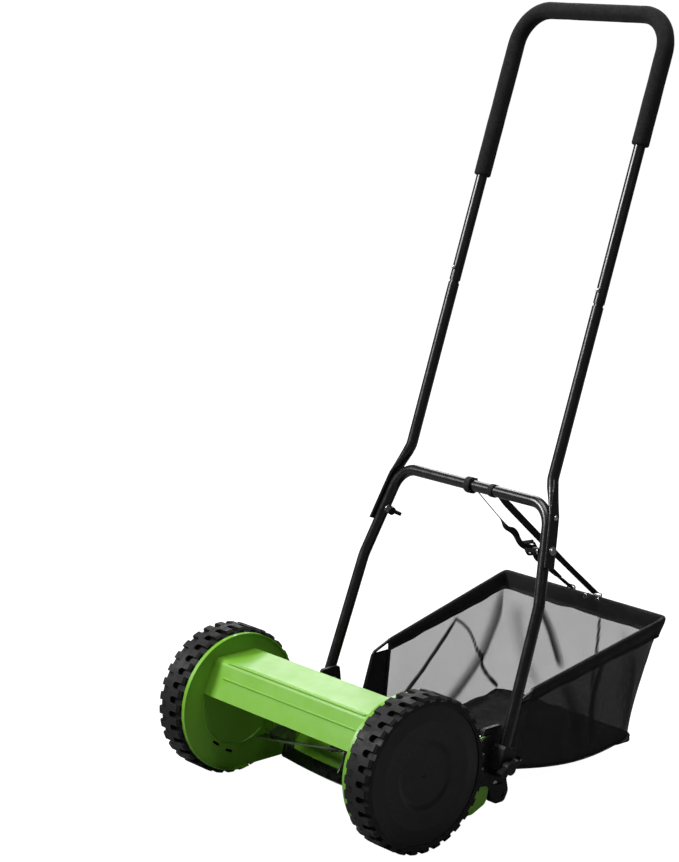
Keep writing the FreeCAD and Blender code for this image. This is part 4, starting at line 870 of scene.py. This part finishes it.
def basket_hems():
    """Rim band folded over the wire, a strip folded round each front wire, and their stitching."""
    def rim_hang(u):
        foot, head, _ = wall_frame(u)
        return (head - foot).length * HEM_SHARE

    pieces, stitches = [], []
    proud = 0.2 * MM
    rim = folded_band(rim_route, rim_hang, HEM_FLAT[0], 3.5 * MM, 5, 0.0022)
    band = rim.piece("basket_rim_hem", 240, 30, HEM_CLOTH)
    pieces.append((band, HEM_FLAT, ["basket_wire"]))
    for v in (0.06, 0.94, 0.10, 0.90):
        stitches += stitch_row(rim, (0.004, v), (0.996, v), proud)
    for side, name in ((-1, "left"), (1, "right")):
        route, hang = side_strip(side)
        strip = folded_band(route, hang, FRONT_HEM_LONG, 3.0 * MM, 11 + side, 0.0015)
        piece = strip.piece("basket_front_hem_" + name, 40, 30, HEM_CLOTH)
        pieces.append((piece, (FRONT_HEM_LONG, strip.length), ["basket_front_wire_" + name]))
        for v in (0.08, 0.92):
            stitches += stitch_row(strip, (0.02, v), (0.98, v), proud)
    seams = join_meshes("basket_hem_stitches", stitches, THREAD)
    for piece, _, _ in pieces:
        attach(piece, "basket")
        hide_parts("basket_hem")
    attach(seams, "basket")


def floor_place(u, v):
    """Floor sheet: sags between its ends, with its side and rear edges turned up."""
    x = (2 * u - 1) * FLOOR_HALF
    y = FLOOR_FRONT + (FLOOR_REAR - FLOOR_FRONT) * v
    level = 0.0325 - 0.006 * v - sag(v) * (1 - 0.35 * (1 - abs(2 * u - 1)))
    to_side = (1 - abs(2 * u - 1)) * FLOOR_HALF
    to_rear = (1 - v) * (FLOOR_REAR - FLOOR_FRONT)
    turned = 1 - smooth_step(min(to_side, to_rear), 0.0, EDGE_WIDTH)
    rise = EDGE_RISE * turned * (1 + 0.5 * bump_noise((x, y, 0), 34, 2))
    corner = smooth_step(v, 0.82, 0.95) * smooth_step(abs(2 * u - 1), 0.84, 1.0)
    corner *= 1 - 0.75 * smooth_step(v, 0.96, 1.0)
    x += math.copysign(0.0050 * corner, x) + 0.0014 * bump_noise((x, y, 1), 40, 5) * turned
    y += 0.002 * corner - 0.006 * smooth_step(v, 0.9, 1.0) * smooth_step(abs(2 * u - 1), 0.93, 1.0)
    creases = 0.0016 * bump_noise((x, y, 0), 16, 6) + 0.0006 * bump_noise((x, y, 0), 46, 8)
    front_lip = 0.004 * (1 - smooth_step(v, 0.0, 0.05))
    return Vector((x, y, level + rise + creases + front_lip - 0.003 * corner))


def basket_floor_sheet():
    """Floor of two faces with a closed edge, and its rows of stitches."""
    cloth = Cloth(floor_place, 2 * FLOOR_HALF, FLOOR_REAR - FLOOR_FRONT)
    columns, rows = 120, 100
    top, uvs = cloth.grid(columns, rows)
    under = [point - Z_AXIS * FLOOR_THICK for point in top]
    count, width = len(top), columns + 1
    faces = grid_faces(rows + 1, width)
    faces += [tuple(count + i for i in reversed(face)) for face in grid_faces(rows + 1, width)]
    border = ([(c, c + 1) for c in range(columns)]
              + [(r * width + columns, (r + 1) * width + columns) for r in range(rows)]
              + [(rows * width + c + 1, rows * width + c) for c in range(columns)]
              + [((r + 1) * width, r * width) for r in range(rows)])
    faces += [(b, a, a + count, b + count) for a, b in border]
    floor = mesh_piece("basket_floor_sheet", top + under, faces, FINISHES["floor_fabric"], uvs * 2)
    stitches = []
    left, right, rear = 0.046, 1 - 0.046, 0.945
    for start, end in (((left, 0.01), (left, rear)), ((right, 0.01), (right, rear)),
                       ((left, rear), (right, rear)), ((0.02, 0.04), (0.98, 0.04))):
        stitches += stitch_row(cloth, start, end, 0.3 * MM)
    seams = join_meshes("basket_floor_stitches", stitches, THREAD)
    for piece in (floor, seams):
        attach(piece, "basket")
    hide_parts("basket_floor")


# ---- straps
CROSSBAR = Vector((0.0, 0.2868, 0.4030))
TUBE_RADIUS, WEB_THICKNESS, WEB_HALF = 8 * MM, 1.3 * MM, 5.6 * MM
RIM_TOP = Vector((0, 0.5135, 0.2085))
STRAPS = {"left": (-6 * MM, -30 * MM), "right": (41 * MM, 24 * MM)}    # x at crossbar, at rim
STRAP_STEPS, BUCKLE_STEP = 90, 59
CLIP_PLACE = (0.5182, 0.2025)            # y and z of the clips' plates on the rear rim
EYELETS = ((8 * MM, 0.2015), (33 * MM, 0.2005))
BAR_STEPS = 8


def crossbar_loop(name, x, lumpy):
    """Webbing wound round the crossbar; the lumpy one is wound twice and its end stands out."""
    route, wides = [], []
    turns = 2.15 if lumpy else 1.06
    thick = WEB_THICKNESS if lumpy else 0.6 * WEB_THICKNESS
    count = int(40 * turns)
    for k in range(count + 1):
        turn = math.tau * turns * k / count - 0.6
        layer = TUBE_RADIUS + thick * (0.75 + 0.95 * k / count * (turns - 0.1))
        if lumpy:
            layer += 0.7 * MM * bump_noise((math.cos(turn), math.sin(turn), k / count), 1.6, 3)
        drift = 1.6 * MM * math.sin(turn * 0.8) if lumpy else 0.0
        route.append(CROSSBAR + Vector((x + drift, layer * math.cos(turn), layer * math.sin(turn))))
        lean = 0.10 * math.sin(turn * 1.3) if lumpy else 0.0
        wides.append((X_AXIS + Y_AXIS * lean).normalized())
    if lumpy:
        out = (route[-1] - CROSSBAR - X_AXIS * x).normalized()
        tail = directions(route)[-1]
        for k in range(1, 4):
            route.append(route[-1] + tail * 1.4 * MM + out * 0.4 * MM * k / 3)
            wides.append(wides[-1])
    half = WEB_HALF if lumpy else 0.75 * WEB_HALF
    vertices, faces, uvs = ribbon(route, wides, half, thick)
    return mesh_piece(name, vertices, faces, FINISHES["webbing"], uvs)


def strap_run(key, waves, twist, reach):
    """Webbing from the crossbar to the rear rim, with slack waves and a twist along it."""
    crossbar_x, rim_x = STRAPS[key]
    start = CROSSBAR + Vector((crossbar_x, 9.2 * MM, -7.0 * MM))
    end = Vector((rim_x, RIM_TOP.y, RIM_TOP.z))
    run = end - start
    up = Vector((0, -run.z, run.y)).normalized()
    route, wides = [], []
    for k in range(STRAP_STEPS + 1):
        share = reach * k / STRAP_STEPS
        slack = waves(share)
        route.append(start + run * share + up * slack[1] + X_AXIS * slack[0])
        wides.append(Matrix.Rotation(twist(share), 3, run.normalized()) @ X_AXIS)
    vertices, faces, uvs = ribbon(route, wides, WEB_HALF, WEB_THICKNESS)
    piece = mesh_piece("strap_" + key, vertices, faces, FINISHES["webbing"], uvs)
    return piece, route, start, end


def bar_route(middle, along, half):
    """Straight route of even steps, half as long each way from its middle."""
    return [middle + along * half * (2 * k / BAR_STEPS - 1) for k in range(BAR_STEPS + 1)]


def ladder_buckle(centre, along, wide):
    """Plastic ladder buckle: rounded frame, two bars and a lip, standing across the strap."""
    parts = []
    frame_route = rounded_loop(centre, wide, along, 8.6 * MM, 11 * MM, 3.2 * MM)
    parts.append(tube_mesh(frame_route, 1.9 * MM, 10, closed=True))
    out = wide.cross(along)
    for share, lift in ((-0.36, 0.6), (0.10, 1.6), (0.55, 0.6)):
        middle = centre + along * 11 * MM * share + out * lift * MM
        parts.append(tube_mesh(bar_route(middle, wide, 8.2 * MM), 1.6 * MM, 10))
    lip = bar_route(centre - along * 12.5 * MM + out * 1.2 * MM, wide, 8 * MM)
    parts.append(tube_mesh(lip, 2.1 * MM, 10))
    return parts


def rim_clip(x):
    """Wire clip on the rear rim: a rounded frame with two bars across it."""
    centre = Vector((x, *CLIP_PLACE))
    down = Vector((0, -0.05, -1)).normalized()
    plate = rounded_loop(centre, X_AXIS, down, 7.8 * MM, 6.2 * MM, 2.6 * MM)
    parts = [tube_mesh(plate, 1.0 * MM, 10, closed=True)]
    for lift in (-2.2, 2.4):
        bar = bar_route(centre + down * lift * MM, X_AXIS, 7.4 * MM)
        parts.append(tube_mesh(bar, 1.15 * MM, 8))
    return parts


def eyelet(centre, out):
    """Rolled metal eyelet set in the cloth."""
    wide = out.orthogonal().normalized()
    high = out.cross(wide)
    turns = [math.tau * k / 20 for k in range(20)]
    ring = [centre + (wide * math.cos(turn) + high * math.sin(turn)) * 3.1 * MM for turn in turns]
    return tube_mesh(ring, 1.0 * MM, 8, closed=True)


def left_waves(t):
    """Sideways and upward slack of the left strap, which is crumpled above its buckle."""
    crumpled = smooth_step(t, 0.28, 0.40) * (1 - smooth_step(t, 0.64, 0.72))
    return (2.4 * MM * math.sin(11 * t + 0.5) * crumpled,
            -5.5 * MM * math.sin(math.pi * t) + 2.6 * MM * math.sin(34 * t) * crumpled)


def left_twist(t):
    """Turn of the left strap about its run: steady at first, then writhing."""
    turned = smooth_step(t, 0.26, 0.44)
    writhe = 0.45 * math.sin(30 * t) * turned * (1 - smooth_step(t, 0.6, 0.7))
    return 0.40 - 1.05 * turned + writhe + 0.5 * smooth_step(t, 0.7, 0.95)


def right_waves(t):
    """The right strap is nearly taut."""
    return 0.0, -1.4 * MM * math.sin(math.pi * t)


def right_twist(t):
    """Turn of the right strap about its run."""
    return -0.7 * smooth_step(t, 0.0, 0.10) + 0.3 * smooth_step(t, 0.45, 0.7)


def hang_straps():
    """Two straps that hold the basket up and their loops on the crossbar; returns their routes."""
    runs = {}
    for key, waves, twist, reach in (("left", left_waves, left_twist, 0.89),
                                     ("right", right_waves, right_twist, 1.0)):
        piece, route, start, end = strap_run(key, waves, twist, reach)
        runs[key] = route
        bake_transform(piece)
        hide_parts("basket_straps")
        loop = crossbar_loop("strap_loop_" + key, STRAPS[key][0], key == "left")
        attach(loop, "handle")
        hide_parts("basket_straps")
    return runs


def add_buckle(runs):
    """Ladder buckle that hangs on the left strap."""
    route = runs["left"]
    centre = route[BUCKLE_STEP]
    along = (route[BUCKLE_STEP + 3] - route[BUCKLE_STEP - 3]).normalized()
    hang = (along + Vector((0, 0, -0.9))).normalized()
    wide = X_AXIS * 0.8 + Y_AXIS * 0.5
    wide = (wide - hang * wide.dot(hang)).normalized()
    buckle = join_meshes("strap_ladder_buckle", ladder_buckle(centre, hang, wide),
                         FINISHES["black_plastic"])
    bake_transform(buckle)
    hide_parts("strap_buckles")


def add_clips(strap_end):
    """Clips on the rear rim, eyelets beside them and the plastic loop that the left strap meets."""
    hook_end = Vector((STRAPS["left"][1], RIM_TOP.y, RIM_TOP.z))
    hook_up = (strap_end - hook_end).normalized()
    hook_wide = (X_AXIS * 0.8 - Y_AXIS * 0.3).normalized()
    hook_wide = (hook_wide - hook_up * hook_wide.dot(hook_up)).normalized()
    hook_loop = rounded_loop(hook_end + hook_up * 13 * MM, hook_wide, hook_up, 8 * MM, 16 * MM,
                             5.5 * MM)

    metal, plastic = [], [tube_mesh(hook_loop, 1.9 * MM, 10, closed=True)]
    for key, (_, rim_x) in STRAPS.items():
        (metal if key == "right" else plastic).extend(rim_clip(rim_x))
    for x, z in EYELETS:
        metal.append(eyelet(Vector((x, 0.5172, z)), Vector((0, 1, 0.1)).normalized()))
        metal.append(eyelet(Vector((x, 0.5090, z)), Vector((0, -1, 0.1)).normalized()))
    clips = join_meshes("rim_clip_metal", metal, FINISHES["steel"])
    hook = join_meshes("rim_clip_plastic", plastic, FINISHES["black_plastic"])
    for piece, slot_name in ((clips, "steel"), (hook, "black_plastic")):
        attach(piece, "basket")
        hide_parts("strap_buckles")


# ---- foam grip
BEND = Vector((0, 299.0, 435.8)) * MM
UPPER_LEAN, UPPER_HALF, UPPER_TOP, UPPER_CORNER = math.radians(19.6), 0.1438, 0.6559, 0.053
FOAM_RADIUS, FOAM_LEFT, FOAM_RIGHT = 0.0123, 0.404, 0.471
FOAM_END = (0.74, 0.86, 0.94, 0.985)     # radius shares of the rings from each end
FOAM_END_DEPTH = (0.0, 0.25 * MM, 0.8 * MM, 1.7 * MM)


def upper_point(x, up):
    """Point of the upper handle's leaning plane, up from the bend of its legs."""
    return BEND + Vector((x, up * math.sin(UPPER_LEAN), up * math.cos(UPPER_LEAN)))


def foam_sleeve():
    """Foam tube pushed on the handle: slightly lumpy, ends rounded over."""
    points = [upper_point(-UPPER_HALF, FOAM_LEFT), upper_point(-UPPER_HALF, UPPER_TOP),
              upper_point(UPPER_HALF, UPPER_TOP), upper_point(UPPER_HALF, FOAM_RIGHT)]
    route = rounded_route(points, [0, UPPER_CORNER, UPPER_CORNER, 0], 3 * MM)
    ends = []
    for tip, beside in ((route[0], route[1]), (route[-1], route[-2])):
        into = (beside - tip).normalized()
        ends.append([tip + into * depth for depth in FOAM_END_DEPTH])
    route = ends[0] + route[1:-1] + ends[1][::-1]
    last = len(route) - 1

    def swell(share, point):
        index = round(share * last)
        from_end = min(index, last - index)
        edge = FOAM_END[from_end] if from_end < len(FOAM_END) else 1.0
        return edge * (1 + 0.022 * bump_noise(point, 26, 4) + 0.012 * bump_noise(point, 90, 7))

    vertices, faces = tube_mesh(route, FOAM_RADIUS, 28, grow=swell)
    grip = mesh_piece("foam_sleeve", vertices, faces, FINISHES["foam"])
    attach(grip, "handle")
    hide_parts("foam_grip")


add_studio()
net_walls()
front_wires()
basket_hems()
basket_floor_sheet()
strap_routes = hang_straps()
add_buckle(strap_routes)
add_clips(strap_routes["left"][-1])
foam_sleeve()
